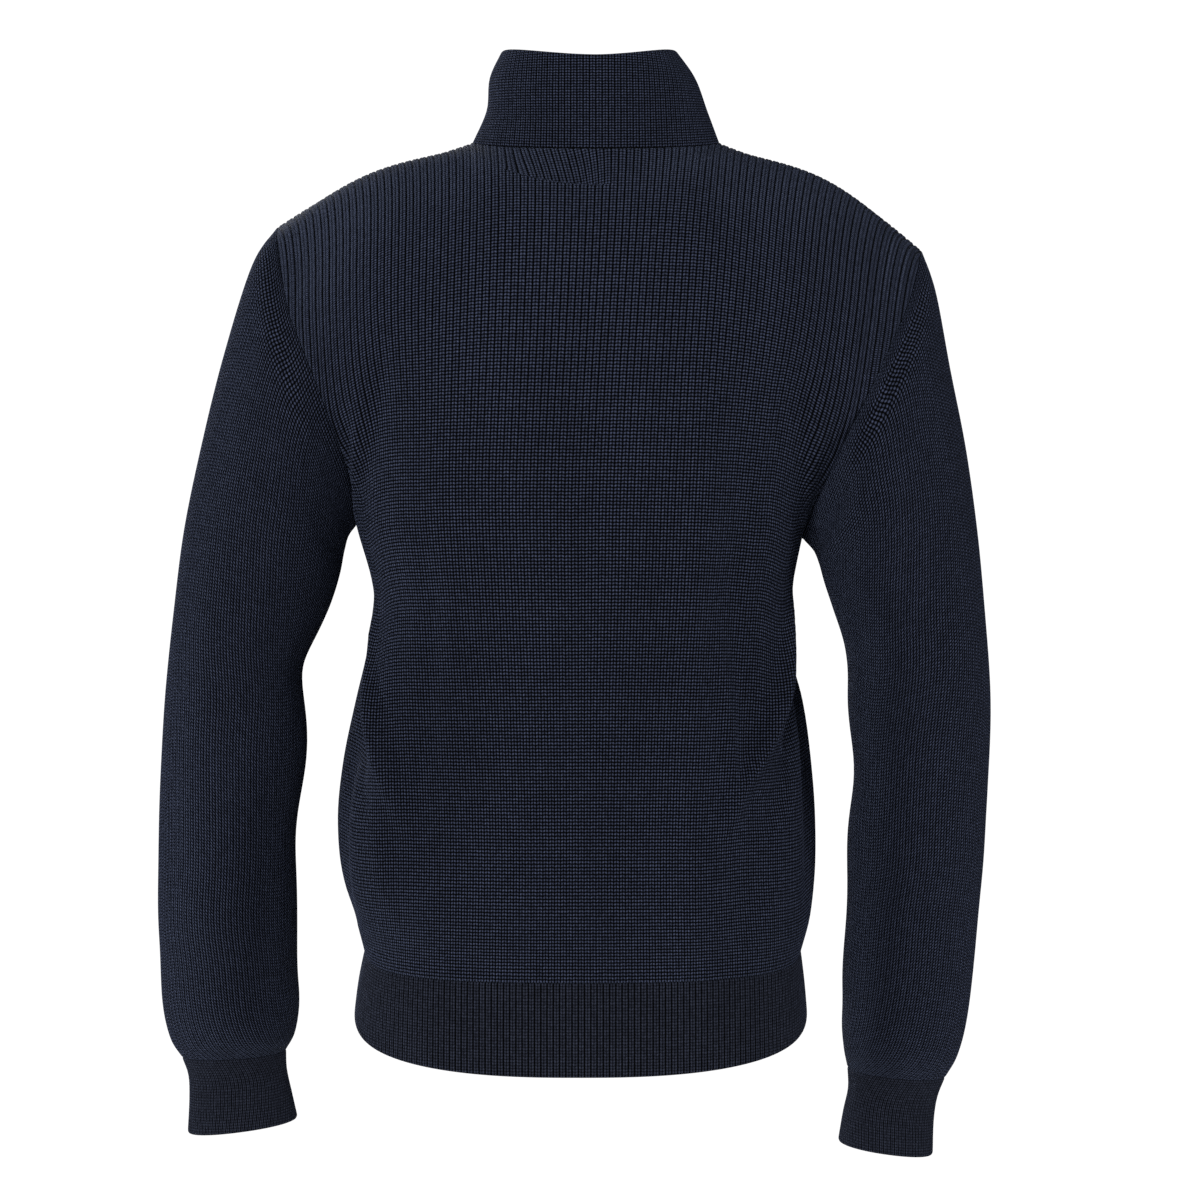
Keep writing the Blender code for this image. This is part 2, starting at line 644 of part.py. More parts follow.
# ---------------------------------------------------------------- seams and walls


class Seam:
    """A line where two pieces meet: its points, the direction of the cloth's thickness
    there, and the direction along the cloth across the seam."""

    def __init__(self, points, thickness, cross):
        self.points = points
        self.thickness = thickness
        self.cross = cross

    @classmethod
    def through(cls, points, thickness, ring=False):
        """A seam whose thickness is made upright on its own line."""
        if ring:
            along = np.roll(points[:-1], -1, axis=0) - np.roll(points[:-1], 1, axis=0)
            along = np.concatenate([along, along[:1]])
        else:
            along = np.gradient(points, axis=0)
        along = unit(along)
        upright = unit(thickness - along * (thickness * along).sum(axis=1, keepdims=True))
        return cls(points, upright, unit(np.cross(upright, along)))

    def part(self, places):
        return Seam(self.points[places], self.thickness[places], self.cross[places])

    def refined(self, pieces):
        return Seam(*(refine(v, pieces) for v in (self.points, self.thickness, self.cross)))


class Cloth:
    """A piece of cloth: a grid of points with the direction of its thickness at each."""

    def __init__(self, surface, inside, ring=False):
        self.surface = surface
        self.normals = grid_normals(surface, inside, ring)
        self.grid = surface.copy()
        self.thickness = self.normals.copy()

    def sew(self, place, seam, beside):
        """Ends the piece half a gap from a seam; `beside` is the place of its next points."""
        self.thickness[place] = seam.thickness
        way = np.sign(((self.surface[beside] - seam.points) * seam.cross).sum())
        self.grid[place] += seam.cross * way * SEAM_GAP / 2

    def parted(self, row):
        """A tube of cloth as two pieces, each ending half a gap from a row."""
        seam = Seam.through(self.surface[row], self.thickness[row], ring=True)
        pieces = []
        for rows, place, beside in ((slice(None, row + 1), -1, -2), (slice(row, None), 0, 1)):
            piece = copy.copy(self)
            piece.surface, piece.thickness = self.surface[rows], self.thickness[rows].copy()
            piece.grid = self.grid[rows].copy()
            piece.sew(place, seam, beside)
            pieces.append(piece)
        return pieces


class Wall:
    """A closed wall made from a piece of cloth.

    `steps` holds the number of outer columns over each inner column, and `gaps` the inner
    cells (row, column) that are left out.
    """

    def __init__(self, cloth, steps, ring=False, gaps=()):
        raised = (np.arange(cloth.grid.shape[1]) % 2)[None, :, None]
        self.starts = np.concatenate([[0], np.cumsum(steps)]).astype(int)
        thickness = cloth.thickness[:, self.starts]
        self.points = {
            "outer": cloth.grid + cloth.thickness * RIB * raised,
            "inner": cloth.grid[:, self.starts] - thickness * WALL,
        }
        self.rows, self.columns = cloth.grid.shape[0] - 1, len(steps)
        self.ring, self.gaps = ring, gaps
        self.mesh = bmesh.new()
        self.made = {}

    def corner(self, kind, row, column):
        if self.ring:
            column %= self.points[kind].shape[1] - 1
        key = (kind, row, column)
        if key not in self.made:
            self.made[key] = self.mesh.verts.new(self.points[kind][row, column])
        return self.made[key]

    def present(self, row, column):
        if self.ring:
            column %= self.columns
        inside = 0 <= row < self.rows and 0 <= column < self.columns
        return inside and (row, column) not in self.gaps

    def square(self, a, b, c, d):
        self.mesh.faces.new((a, b, c))
        self.mesh.faces.new((a, c, d))

    def cell(self, row, column):
        """The outside and inside of one inner cell."""
        for k in range(self.starts[column], self.starts[column + 1]):
            self.square(self.corner("outer", row, k), self.corner("outer", row, k + 1),
                        self.corner("outer", row + 1, k + 1), self.corner("outer", row + 1, k))
        self.square(self.corner("inner", row, column), self.corner("inner", row + 1, column),
                    self.corner("inner", row + 1, column + 1),
                    self.corner("inner", row, column + 1))

    def level_edge(self, row, column, above):
        """The edge of the cloth along the foot or, if `above`, the top of an inner cell."""
        edge = row + 1 if above else row
        near, far = self.corner("inner", edge, column), self.corner("inner", edge, column + 1)
        first, last = self.starts[column], self.starts[column + 1]
        line = [self.corner("outer", edge, k) for k in range(first, last + 1)]
        half = len(line) // 2
        fans = [(near, line[k + 1], line[k]) for k in range(half)]
        fans += [(far, line[k + 1], line[k]) for k in range(half, len(line) - 1)]
        fans.append((near, far, line[half]))
        for fan in fans:
            self.mesh.faces.new(fan[::-1] if above else fan)

    def upright_edge(self, row, column, beyond):
        """The edge of the cloth up one side of an inner cell."""
        edge = column + 1 if beyond else column
        at = self.starts[edge]
        low, high = self.corner("inner", row, edge), self.corner("inner", row + 1, edge)
        low_out, high_out = self.corner("outer", row, at), self.corner("outer", row + 1, at)
        corners = (low, low_out, high_out, high)
        self.square(*(corners[::-1] if beyond else corners))

    def build(self, name, colour):
        for row in range(self.rows):
            for column in range(self.columns):
                if not self.present(row, column):
                    continue
                self.cell(row, column)
                for above in (False, True):
                    if not self.present(row + (1 if above else -1), column):
                        self.level_edge(row, column, above)
                for beyond in (False, True):
                    if not self.present(row, column + (1 if beyond else -1)):
                        self.upright_edge(row, column, beyond)
        return finish(name, self.mesh, colour)


def finish(name, mesh, colour, roughness=0.85, metallic=0.0):
    bmesh.ops.recalc_face_normals(mesh, faces=mesh.faces)
    data = bpy.data.meshes.new(name)
    mesh.to_mesh(data)
    mesh.free()
    piece = bpy.data.objects.new(name, data)
    bpy.context.scene.collection.objects.link(piece)
    material = bpy.data.materials.new(name)
    material.use_nodes = True
    shader = material.node_tree.nodes["Principled BSDF"]
    shader.inputs["Base Color"].default_value = colour
    shader.inputs["Roughness"].default_value = roughness
    shader.inputs["Metallic"].default_value = metallic
    data.materials.append(material)
    return piece


# ---------------------------------------------------------------- sewing


def make_sleeve(side, panels):
    """A sleeve with the panels' rows on its first ring, and the armhole's seam."""
    column = EDGE_COLUMN[side]
    armholes = [panels[name].surface[ARMPIT_ROW:, column] for name in ("back", "front")]
    ring = np.concatenate([armholes[0][::-1], armholes[1][1:]])
    surface = sleeve_grid(side, refine(ring, SLEEVE_STEP))
    sleeve = Cloth(surface, surface.mean(axis=1, keepdims=True), ring=True)
    back, front = (panels[name].normals[ARMPIT_ROW:, column] for name in ("back", "front"))
    of_panels = np.concatenate([back[::-1], front[1:]])
    thickness = of_panels + sleeve.normals[0, ::SLEEVE_STEP]
    thickness[0] = thickness[-1] = unit(thickness[0] + thickness[-1])
    return sleeve, Seam.through(ring, thickness, ring=True)


def side_seam(side, panels, armhole):
    """The seam from the hem's join to the armpit, where it takes the armhole's thickness."""
    place = slice(0, ARMPIT_ROW + 1), EDGE_COLUMN[side]
    thickness = unit(panels["back"].normals[place] + panels["front"].normals[place])
    thickness[-1] = armhole.thickness[ROWS_AT_ARM]
    return Seam.through(panels["back"].surface[place], thickness)


def round_the_neck(back, front):
    """Values along the neck seam, from the zip's right edge by the back to its left edge."""
    right, left = front[NECK_OF_FRONT["right"]][::-1], front[NECK_OF_FRONT["left"]][::-1]
    return np.concatenate([right, back[NECK_OF_BACK][1:], left[1:]])


def make_collar(panels):
    """The collar and the neck seam."""
    back, front = panels["back"], panels["front"]
    line = round_the_neck(back.surface[TOP_ROW], front.surface[TOP_ROW])
    angles = refine(collar_angles(line)[:, None], BAND_STEP)[:, 0]
    rings = [collar_ring(k / COLLAR_ROWS, angles) for k in range(1, COLLAR_ROWS + 1)]
    surface = np.array([refine(line, BAND_STEP), *rings])
    collar = Cloth(surface, surface.mean(axis=(0, 1)))
    of_panels = round_the_neck(back.normals[TOP_ROW], front.normals[TOP_ROW])
    return collar, Seam.through(line, of_panels + collar.normals[0, ::BAND_STEP])


def shoulder_seam(side, panels, armhole, neck):
    """A shoulder seam; its ends take the thickness of the armhole and of the neck seam."""
    back, front = (panels[name].normals[TOP_ROW, SHOULDER_OF[side, name]]
                   for name in ("back", "front"))
    thickness = unit(back + front)
    tip, inner = (-1, 0) if side == "left" else (0, -1)
    thickness[tip] = armhole.thickness[0]
    thickness[inner] = neck.thickness[SIDE_OF_NECK[side]]
    return Seam.through(panels["back"].surface[TOP_ROW, SHOULDER_OF[side, "back"]], thickness)


def sew_top_edges(panels, shoulders, neck):
    back, front = panels["back"], panels["front"]
    for side, seam in shoulders.items():
        for name, panel in panels.items():
            columns = SHOULDER_OF[side, name]
            panel.sew((TOP_ROW, columns), seam, (TOP_ROW - 1, columns))
    first, last = SIDE_OF_NECK["right"], SIDE_OF_NECK["left"]
    back.sew((TOP_ROW, NECK_OF_BACK), neck.part(slice(first, last + 1)),
             (TOP_ROW - 1, NECK_OF_BACK))
    for side, places in (("right", slice(first, None, -1)), ("left", slice(None, last - 1, -1))):
        columns = NECK_OF_FRONT[side]
        front.sew((TOP_ROW, columns), neck.part(places), (TOP_ROW - 1, columns))


def sew_side_edges(panels, armholes, sides):
    halves = {"back": slice(ROWS_AT_ARM, None, -1), "front": slice(ROWS_AT_ARM, None)}
    at_arm, below = slice(ARMPIT_ROW, None), slice(0, ARMPIT_ROW + 1)
    for side, column in EDGE_COLUMN.items():
        for name, panel in panels.items():
            beside = NEXT_COLUMN[side]
            panel.sew((at_arm, column), armholes[side].part(halves[name]), (at_arm, beside))
            panel.sew((below, column), sides[side], (below, beside))


def make_hem(name, panels, sides):
    """A hem band under a panel, sewn to it and along both side seams."""
    panel = panels[name]
    across = refine(across_shares(name)[:, None], BAND_STEP)[:, 0]
    surface = hem_grid(name, across, refine(panel.surface[0], BAND_STEP))
    band = Cloth(surface, surface.mean(axis=(0, 1)) * (1, 0, 1))
    thickness = panel.thickness[0].copy()
    for side, column in EDGE_COLUMN.items():
        thickness[column] = sides[side].thickness[0]
        line = surface[:, column]
        # The side seam runs on down the hem with the thickness it has at the join.
        seam = Seam.through(line, np.repeat(sides[side].thickness[:1], len(line), axis=0))
        band.sew((slice(None), column), seam, (slice(None), NEXT_COLUMN[side]))
    join = Seam.through(panel.surface[0], thickness)
    panel.sew(0, join, 1)
    band.sew(0, join.refined(BAND_STEP), 1)
    return band


def make_cuff(side, sleeve):
    """A cuff, sewn to the foot of its sleeve."""
    sections = {"left": CUFF_LEFT, "right": CUFF_RIGHT}[side]
    top = sleeve.surface[-1]
    rings = [sleeve_ring(sections, k, len(top) - 1) for k in range(1, CUFF_ROWS + 1)]
    surface = np.array([top, *rings])
    cuff = Cloth(surface, surface.mean(axis=1, keepdims=True), ring=True)
    join = Seam.through(top, sleeve.normals[-1] + cuff.normals[0], ring=True)
    sleeve.sew(-1, join, -2)
    cuff.sew(0, join, 1)
    return cuff


# ---------------------------------------------------------------- the zip


def build_strip(name, lines, outs, thick, colour):
    """A flat strip through lines of points, each with its outward direction."""
    outer = np.stack(lines, axis=1)
    inner = outer - np.stack(outs, axis=1) * thick
    mesh = bmesh.new()
    top, foot = ([[mesh.verts.new(p) for p in row] for row in sheet] for sheet in (outer, inner))
    rows, columns = len(top) - 1, len(top[0]) - 1
    for row in range(rows):
        for column in range(columns):
            for sheet in (top, foot):
                mesh.faces.new([sheet[row][column], sheet[row][column + 1],
                                sheet[row + 1][column + 1], sheet[row + 1][column]])
        for column in (0, columns):
            mesh.faces.new([top[row][column], top[row + 1][column],
                            foot[row + 1][column], foot[row][column]])
    for row in (0, rows):
        for column in range(columns):
            mesh.faces.new([top[row][column], top[row][column + 1],
                            foot[row][column + 1], foot[row][column]])
    return finish(name, mesh, colour)


def build_cells(name, frame, across, down, out, filled):
    """A solid of boxes on one grid: `filled` holds the cells (across, down, out)."""
    origin, across_way, down_way, out_way = frame
    mesh = bmesh.new()
    corners = {}

    def corner(i, j, k):
        if (i, j, k) not in corners:
            place = origin + across_way * across[i] + down_way * down[j] + out_way * out[k]
            corners[i, j, k] = mesh.verts.new(place)
        return corners[i, j, k]

    sides = (
        ((-1, 0, 0), ((0, 0, 0), (0, 0, 1), (0, 1, 1), (0, 1, 0))),
        ((1, 0, 0), ((1, 0, 0), (1, 1, 0), (1, 1, 1), (1, 0, 1))),
        ((0, -1, 0), ((0, 0, 0), (1, 0, 0), (1, 0, 1), (0, 0, 1))),
        ((0, 1, 0), ((0, 1, 0), (0, 1, 1), (1, 1, 1), (1, 1, 0))),
        ((0, 0, -1), ((0, 0, 0), (0, 1, 0), (1, 1, 0), (1, 0, 0))),
        ((0, 0, 1), ((0, 0, 1), (1, 0, 1), (1, 1, 1), (0, 1, 1))),
    )
    for cell in sorted(filled):
        for step, square in sides:
            if tuple(a + b for a, b in zip(cell, step)) not in filled:
                mesh.faces.new([corner(*(a + b for a, b in zip(cell, c))) for c in square])
    return finish(name, mesh, METAL, roughness=0.35, metallic=1.0)


def inside_of(front, collar, of_front, of_collar):
    """A line up the inside of the front panel and the collar, and its outward directions."""
    rows = slice(ZIP_FOOT_ROW, None)
    points = np.concatenate([front.grid[rows, of_front], collar.grid[1:, of_collar]])
    out = np.concatenate([front.thickness[rows, of_front], collar.thickness[1:, of_collar]])
    return points - out * WALL, unit(out)


def build_zip(front, collar):
    """The tapes under the slit's edges, the chain between them, the slider and its tab."""
    band_step = BAND_STEP * INNER_STEP
    edges = {
        "right": inside_of(front, collar, RIGHT_OF_ZIP, 0),
        "left": inside_of(front, collar, LEFT_OF_ZIP, -1),
    }
    beyond = {
        "right": inside_of(front, collar, RIGHT_OF_ZIP - INNER_STEP, band_step),
        "left": inside_of(front, collar, LEFT_OF_ZIP + INNER_STEP, -1 - band_step),
    }
    middle = (edges["left"][0] + edges["right"][0]) / 2
    for side in edges:
        edge, out = edges[side]
        far, far_out = beyond[side]
        near = middle + unit(edge - middle) * (CHAIN_HALF_WIDTH + CHAIN_TO_TAPE)
        reach = edge + unit(far - edge) * TAPE_REACH
        outs = [out, out, unit(out + far_out)]
        lines = [points - o * TAPE_DEPTH for points, o in zip((near, edge, reach), outs)]
        build_strip(f"zip_tape_{side}", lines, outs, TAPE_THICK, TAPE_NAVY)
    out = unit(edges["left"][1] + edges["right"][1])
    build_metal(middle - out * (TAPE_DEPTH + TAPE_THICK / 2), out,
                unit(edges["left"][0] - edges["right"][0]))


def build_metal(middle, out, across_way):
    """The chain, its bottom stop, the slider and the pull tab, on the zip's middle line."""
    top, foot = middle[-1].copy(), middle[0].copy()
    down, up = unit(middle[-2] - top), unit(middle[1] - foot)
    middle[-1] += down * CHAIN_TOP
    middle[0] += up * CHAIN_FOOT
    half = CHAIN_HALF_WIDTH
    edges = [middle + out * CHAIN_THICK / 2 + across_way * reach for reach in (-half, half)]
    build_strip("zip_chain", edges, [out, out], CHAIN_THICK, TAPE_NAVY)
    stop_out = unit(out[0] - up * (out[0] @ up))
    build_cells("zip_bottom_stop", (foot, across_way[0], up, stop_out), (-half, half),
                STOP_ALONG, (-STOP_HALF_THICK, STOP_HALF_THICK), {(0, 0, 0)})
    slider_out = unit(out[-1] - down * (out[-1] @ down))
    build_slider((top, across_way[-1], down, slider_out))


def build_slider(frame):
    """The slider, two plates joined by a post with a bridge outside, and its pull tab."""
    plates = {(i, j, k) for i in range(3) for j in range(5) for k in (0, 2)}
    post = {(1, j, 1) for j in (0, 1)}
    legs = {(1, j, 3) for j in (1, 3)}
    bar = {(1, j, 4) for j in (1, 2, 3)}
    build_cells("zip_slider", frame, SLIDER_ACROSS, SLIDER_DOWN, SLIDER_OUT,
                plates | post | legs | bar)
    crossbar = {(i, 0, 0) for i in range(3)}
    arms = {(0, 1, 0), (2, 1, 0)}
    plate = {(i, 2, 0) for i in range(3)}
    build_cells("zip_pull_tab", frame, TAB_ACROSS, TAB_DOWN, TAB_OUT, crossbar | arms | plate)


# ---------------------------------------------------------------- the whole sweater


def panel_steps(panel):
    """Outer columns over each inner column of a panel, from the right edge to the left."""
    shoulder = [INNER_STEP] * (SHOULDER_COLUMNS // INNER_STEP)
    if panel == "back":
        return shoulder + [INNER_STEP] * (BACK_NECK_COLUMNS // INNER_STEP) + shoulder
    beside_zip = [INNER_STEP] * (FRONT_NECK_COLUMNS // INNER_STEP)
    return shoulder + beside_zip + [SLIT_COLUMNS] + beside_zip + shoulder


def main():
    for item in list(bpy.data.objects):
        bpy.data.objects.remove(item, do_unlink=True)

    panels = {}
    for name in ("back", "front"):
        surface = panel_grid(name)
        panels[name] = Cloth(surface, axis_points(surface))
    sleeves, armholes, sides = {}, {}, {}
    for side in ("left", "right"):
        sleeves[side], armholes[side] = make_sleeve(side, panels)
        sides[side] = side_seam(side, panels, armholes[side])
    collar, neck = make_collar(panels)
    shoulders = {
        side: shoulder_seam(side, panels, armholes[side], neck) for side in ("left", "right")
    }
    sew_top_edges(panels, shoulders, neck)
    sew_side_edges(panels, armholes, sides)
    collar.sew(0, neck.refined(BAND_STEP), 1)
    hems = {name: make_hem(name, panels, sides) for name in panels}

    slit_rows = range(ZIP_FOOT_ROW, TOP_ROW)
    slit = {(row, RIGHT_OF_ZIP // INNER_STEP) for row in slit_rows}
    Wall(panels["back"], panel_steps("back")).build("back_panel", NAVY)
    Wall(panels["front"], panel_steps("front"), gaps=slit).build("front_panel", NAVY)
    for name, hem in hems.items():
        steps = [BAND_STEP * step for step in panel_steps(name)]
        Wall(hem, steps).build(f"hem_{name}", NAVY_TRIM)
    for side, sleeve in sleeves.items():
        sleeve.sew(0, armholes[side].refined(SLEEVE_STEP), 1)
        cuff = make_cuff(side, sleeve)
        upper, lower = sleeve.parted(UPPER_SLEEVE_ROWS)
        steps = [SLEEVE_STEP] * (2 * ROWS_AT_ARM)
        Wall(upper, steps, ring=True).build(f"upper_sleeve_{side}", NAVY)
        Wall(lower, steps, ring=True).build(f"lower_sleeve_{side}", NAVY)
        Wall(cuff, steps, ring=True).build(f"cuff_{side}", NAVY_TRIM)
    collar_columns = (2 * FRONT_NECK_COLUMNS + BACK_NECK_COLUMNS) // INNER_STEP
    Wall(collar, [BAND_STEP * INNER_STEP] * collar_columns).build("collar", NAVY_TRIM)
    build_zip(panels["front"], collar)


main()
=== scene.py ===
"""The looks of a navy half-zip sweater in fisherman's rib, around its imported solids.

Metres, +Z up. The wearer faces -Y and the wearer's left arm is at +X. Every knitted piece is
a closed shell on the same surface as its solid: its outside carries the ribs as real relief,
its inside is plain, and its edges roll over. Ribs run up a piece at their own even pitch and
end where a seam cuts them. Stitches, which are finer, come from the material, which reads two
counts stored on the mesh: ribs across (x) and courses up (y).
"""

import math

import bmesh
import bpy
import numpy as np
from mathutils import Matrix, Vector


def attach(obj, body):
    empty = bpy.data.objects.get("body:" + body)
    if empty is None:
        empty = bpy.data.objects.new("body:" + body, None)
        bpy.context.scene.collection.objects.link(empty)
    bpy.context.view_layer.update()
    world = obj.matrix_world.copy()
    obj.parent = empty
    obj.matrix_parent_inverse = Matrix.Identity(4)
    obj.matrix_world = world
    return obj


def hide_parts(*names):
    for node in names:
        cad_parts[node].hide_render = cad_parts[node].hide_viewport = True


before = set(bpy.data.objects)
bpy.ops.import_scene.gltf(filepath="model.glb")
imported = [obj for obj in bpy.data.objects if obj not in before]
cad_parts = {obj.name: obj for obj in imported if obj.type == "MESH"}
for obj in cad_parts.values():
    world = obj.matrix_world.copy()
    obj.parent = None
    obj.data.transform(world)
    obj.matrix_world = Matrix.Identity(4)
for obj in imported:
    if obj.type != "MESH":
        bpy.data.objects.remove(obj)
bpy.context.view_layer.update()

# ---------------------------------------------------------------- the sweater's own sizes

WALL = 0.0022  # from the surface between the ribs to the plain inside
SLIT_HALF_WIDTH = 0.006
AXIS_BELOW, AXIS_TOP = 0.02, -0.08  # of the line inside the torso from which out is told
SQUARENESS = 2.5  # of the torso's superellipse
SLEEVE_SQUARENESS = 2.15
ARC_POINTS = 400


def table(columns, *rows):
    """A table with named columns, one row for each section."""
    return dict(zip(columns.split(), np.array(rows, float).T))


# The torso's sections from the ribbed hem's join up to the armpit, read at the side's height.
TORSO = table(
    "z left right back front",
    (-0.566, 0.166, -0.147, 0.115, -0.121),
    (-0.541, 0.173, -0.154, 0.121, -0.128),
    (-0.519, 0.181, -0.157, 0.123, -0.130),
    (-0.476, 0.186, -0.158, 0.119, -0.128),
    (-0.433, 0.182, -0.155, 0.114, -0.124),
    (-0.390, 0.173, -0.149, 0.111, -0.121),
    (-0.354, 0.1645, -0.140, 0.112, -0.121),
    (-0.318, 0.1590, -0.140, 0.116, -0.124),
    (-0.262, 0.172, -0.150, 0.120, -0.130),
)
# The middle column of each panel: the cloth hangs a little to the wearer's left.
MIDDLE_X = {"back": 0.012, "front": 0.004}
SIDE_SEAM_Y = -0.010

# Heights of the rows that run round the torso, at the back and front and at each side.
HEM_JOIN = {"middle": -0.578, "side": -0.566}
ARMPIT_Z = {"middle": -0.264, "left": -0.262, "right": -0.272}
HEM_FOOT = table(
    "down left right back front middle_z side_z sharpness",
    (0.0, 0.166, -0.147, 0.115, -0.121, -0.578, -0.566, 5.0),
    (0.5, 0.171, -0.150, 0.118, -0.123, -0.610, -0.590, 3.4),
    (1.0, 0.174, -0.152, 0.118, -0.123, -0.643, -0.612, 2.6),
)
# The power by which a row rises to the side seams, at the hem's join and at the armpit.
JOIN_SHARPNESS, ARMPIT_SHARPNESS = 5.0, 2.0

# Armholes, from the armpit to the shoulder's tip.
ARMHOLES = {
    ("left", "back"): table(
        "x y z",
        (0.1720, -0.010, -0.2620),
        (0.1725, 0.014, -0.2460),
        (0.1775, 0.046, -0.2180),
        (0.1885, 0.073, -0.1820),
        (0.2030, 0.079, -0.1430),
        (0.2135, 0.068, -0.1175),
        (0.2205, 0.048, -0.0930),
        (0.2275, 0.018, -0.0600),
        (0.2300, -0.020, -0.0480),
    ),
    ("left", "front"): table(
        "x y z",
        (0.1720, -0.010, -0.2620),
        (0.1700, -0.034, -0.2440),
        (0.1720, -0.062, -0.2120),
        (0.1790, -0.083, -0.1740),
        (0.1915, -0.086, -0.1380),
        (0.2045, -0.075, -0.1080),
        (0.2190, -0.052, -0.0780),
        (0.2300, -0.020, -0.0480),
    ),
    ("right", "back"): table(
        "x y z",
        (-0.1495, -0.010, -0.2720),
        (-0.1535, 0.014, -0.2560),
        (-0.1640, 0.044, -0.2290),
        (-0.1775, 0.072, -0.1960),
        (-0.1925, 0.081, -0.1660),
        (-0.2065, 0.074, -0.1360),
        (-0.2205, 0.053, -0.1060),
        (-0.2300, 0.022, -0.0770),
        (-0.2350, -0.018, -0.0650),
    ),
    ("right", "front"): table(
        "x y z",
        (-0.1495, -0.010, -0.2720),
        (-0.1510, -0.034, -0.2540),
        (-0.1575, -0.062, -0.2220),
        (-0.1680, -0.083, -0.1840),
        (-0.1810, -0.086, -0.1500),
        (-0.1985, -0.075, -0.1180),
        (-0.2190, -0.050, -0.0900),
        (-0.2350, -0.018, -0.0650),
    ),
}

# Upright lines of the yoke from the armpit's level (rise 0) to the top edge (rise 1):
# at the centre, below the side of the neck, and below the middle of the shoulder.
YOKE = {
    ("back", "centre"): table(
        "rise y z",
        (0.00, 0.120, -0.264),
        (0.25, 0.125, -0.203),
        (0.50, 0.123, -0.134),
        (0.75, 0.107, -0.063),
        (1.00, 0.068, 0.000),
    ),
    ("back", "neck"): table(
        "rise y z",
        (0.00, 0.117, -0.264),
        (0.25, 0.121, -0.199),
        (0.50, 0.115, -0.122),
        (0.75, 0.078, -0.036),
        (0.88, 0.038, -0.001),
        (1.00, -0.012, 0.012),
    ),
    ("back", "shoulder"): table(
        "rise y z",
        (0.00, 0.110, -0.264),
        (0.25, 0.115, -0.190),
        (0.50, 0.105, -0.112),
        (0.75, 0.065, -0.042),
        (0.88, 0.030, -0.019),
        (1.00, -0.016, -0.0165),
    ),
    ("front", "centre"): table(
        "rise y z",
        (0.00, -0.130, -0.264),
        (0.25, -0.137, -0.220),
        (0.50, -0.134, -0.163),
        (0.75, -0.107, -0.104),
        (1.00, -0.062, -0.056),
    ),
    ("front", "neck"): table(
        "rise y z",
        (0.00, -0.127, -0.264),
        (0.25, -0.131, -0.196),
        (0.50, -0.118, -0.115),
        (0.75, -0.078, -0.040),
        (0.88, -0.048, -0.010),
        (1.00, -0.012, 0.012),
    ),
    ("front", "shoulder"): table(
        "rise y z",
        (0.00, -0.118, -0.264),
        (0.25, -0.121, -0.196),
        (0.50, -0.109, -0.126),
        (0.75, -0.074, -0.060),
        (0.88, -0.047, -0.034),
        (1.00, -0.016, -0.0165),
    ),
}
NECK_SIDE = {"left": (0.088, -0.012, 0.012), "right": (-0.088, -0.012, 0.012)}
BACK_NECK = (0.0, 0.068, 0.0)
FRONT_NECK = (0.0, -0.062, -0.056)
NECK_ACROSS = 0.4  # share of the half width taken by the neck
SHOULDER_ACROSS = 0.7
NECK_ROUND = 1.8  # how roundly the neckline falls to the front
SHOULDER_ARCH = {"left": 0.007, "right": 0.011}  # how far a shoulder seam bows up
ARCH_LEAN = 1.3  # over 1, the bow is fullest nearer the sleeve
ROW_BLEND = 0.6  # the rise up to which the armpit's row, and past which the top edge, is followed
# Sleeves, ring by ring from the armhole down: the outer and inner edge of each ring.
SLEEVE_LEFT = table(
    "outer_x outer_z inner_x inner_z middle_y half_depth",
    (0.2300, -0.048, 0.1720, -0.262, -0.002, 0.083),
    (0.2460, -0.075, 0.1790, -0.272, -0.001, 0.083),
    (0.2660, -0.140, 0.1820, -0.284, 0.000, 0.081),
    (0.2820, -0.205, 0.1850, -0.299, 0.001, 0.078),
    (0.2950, -0.268, 0.1910, -0.319, 0.002, 0.073),
    (0.3025, -0.330, 0.2030, -0.350, 0.003, 0.066),
    (0.3090, -0.386, 0.2105, -0.390, 0.002, 0.060),
    (0.3135, -0.445, 0.2125, -0.445, -0.003, 0.056),
    (0.3160, -0.506, 0.2165, -0.504, -0.011, 0.053),
    (0.3165, -0.565, 0.2185, -0.563, -0.021, 0.051),
    (0.3160, -0.610, 0.2175, -0.607, -0.028, 0.048),
    (0.3110, -0.637, 0.2210, -0.634, -0.031, 0.043),
    (0.3025, -0.652, 0.2280, -0.648, -0.032, 0.035),
)
SLEEVE_RIGHT = table(
    "outer_x outer_z inner_x inner_z middle_y half_depth",
    (-0.2350, -0.065, -0.1495, -0.272, -0.002, 0.083),
    (-0.2435, -0.094, -0.1575, -0.282, -0.001, 0.083),
    (-0.2535, -0.150, -0.1610, -0.292, 0.000, 0.081),
    (-0.2650, -0.210, -0.1650, -0.305, 0.001, 0.078),
    (-0.2735, -0.272, -0.1710, -0.323, 0.002, 0.073),
    (-0.2790, -0.334, -0.1805, -0.354, 0.003, 0.066),
    (-0.2830, -0.392, -0.1845, -0.394, 0.002, 0.060),
    (-0.2820, -0.450, -0.1825, -0.450, -0.003, 0.056),
    (-0.2785, -0.513, -0.1815, -0.511, -0.011, 0.053),
    (-0.2750, -0.575, -0.1805, -0.573, -0.021, 0.051),
    (-0.2705, -0.622, -0.1800, -0.618, -0.028, 0.048),
    (-0.2640, -0.650, -0.1820, -0.645, -0.031, 0.043),
    (-0.2550, -0.667, -0.1850, -0.661, -0.032, 0.035),
)
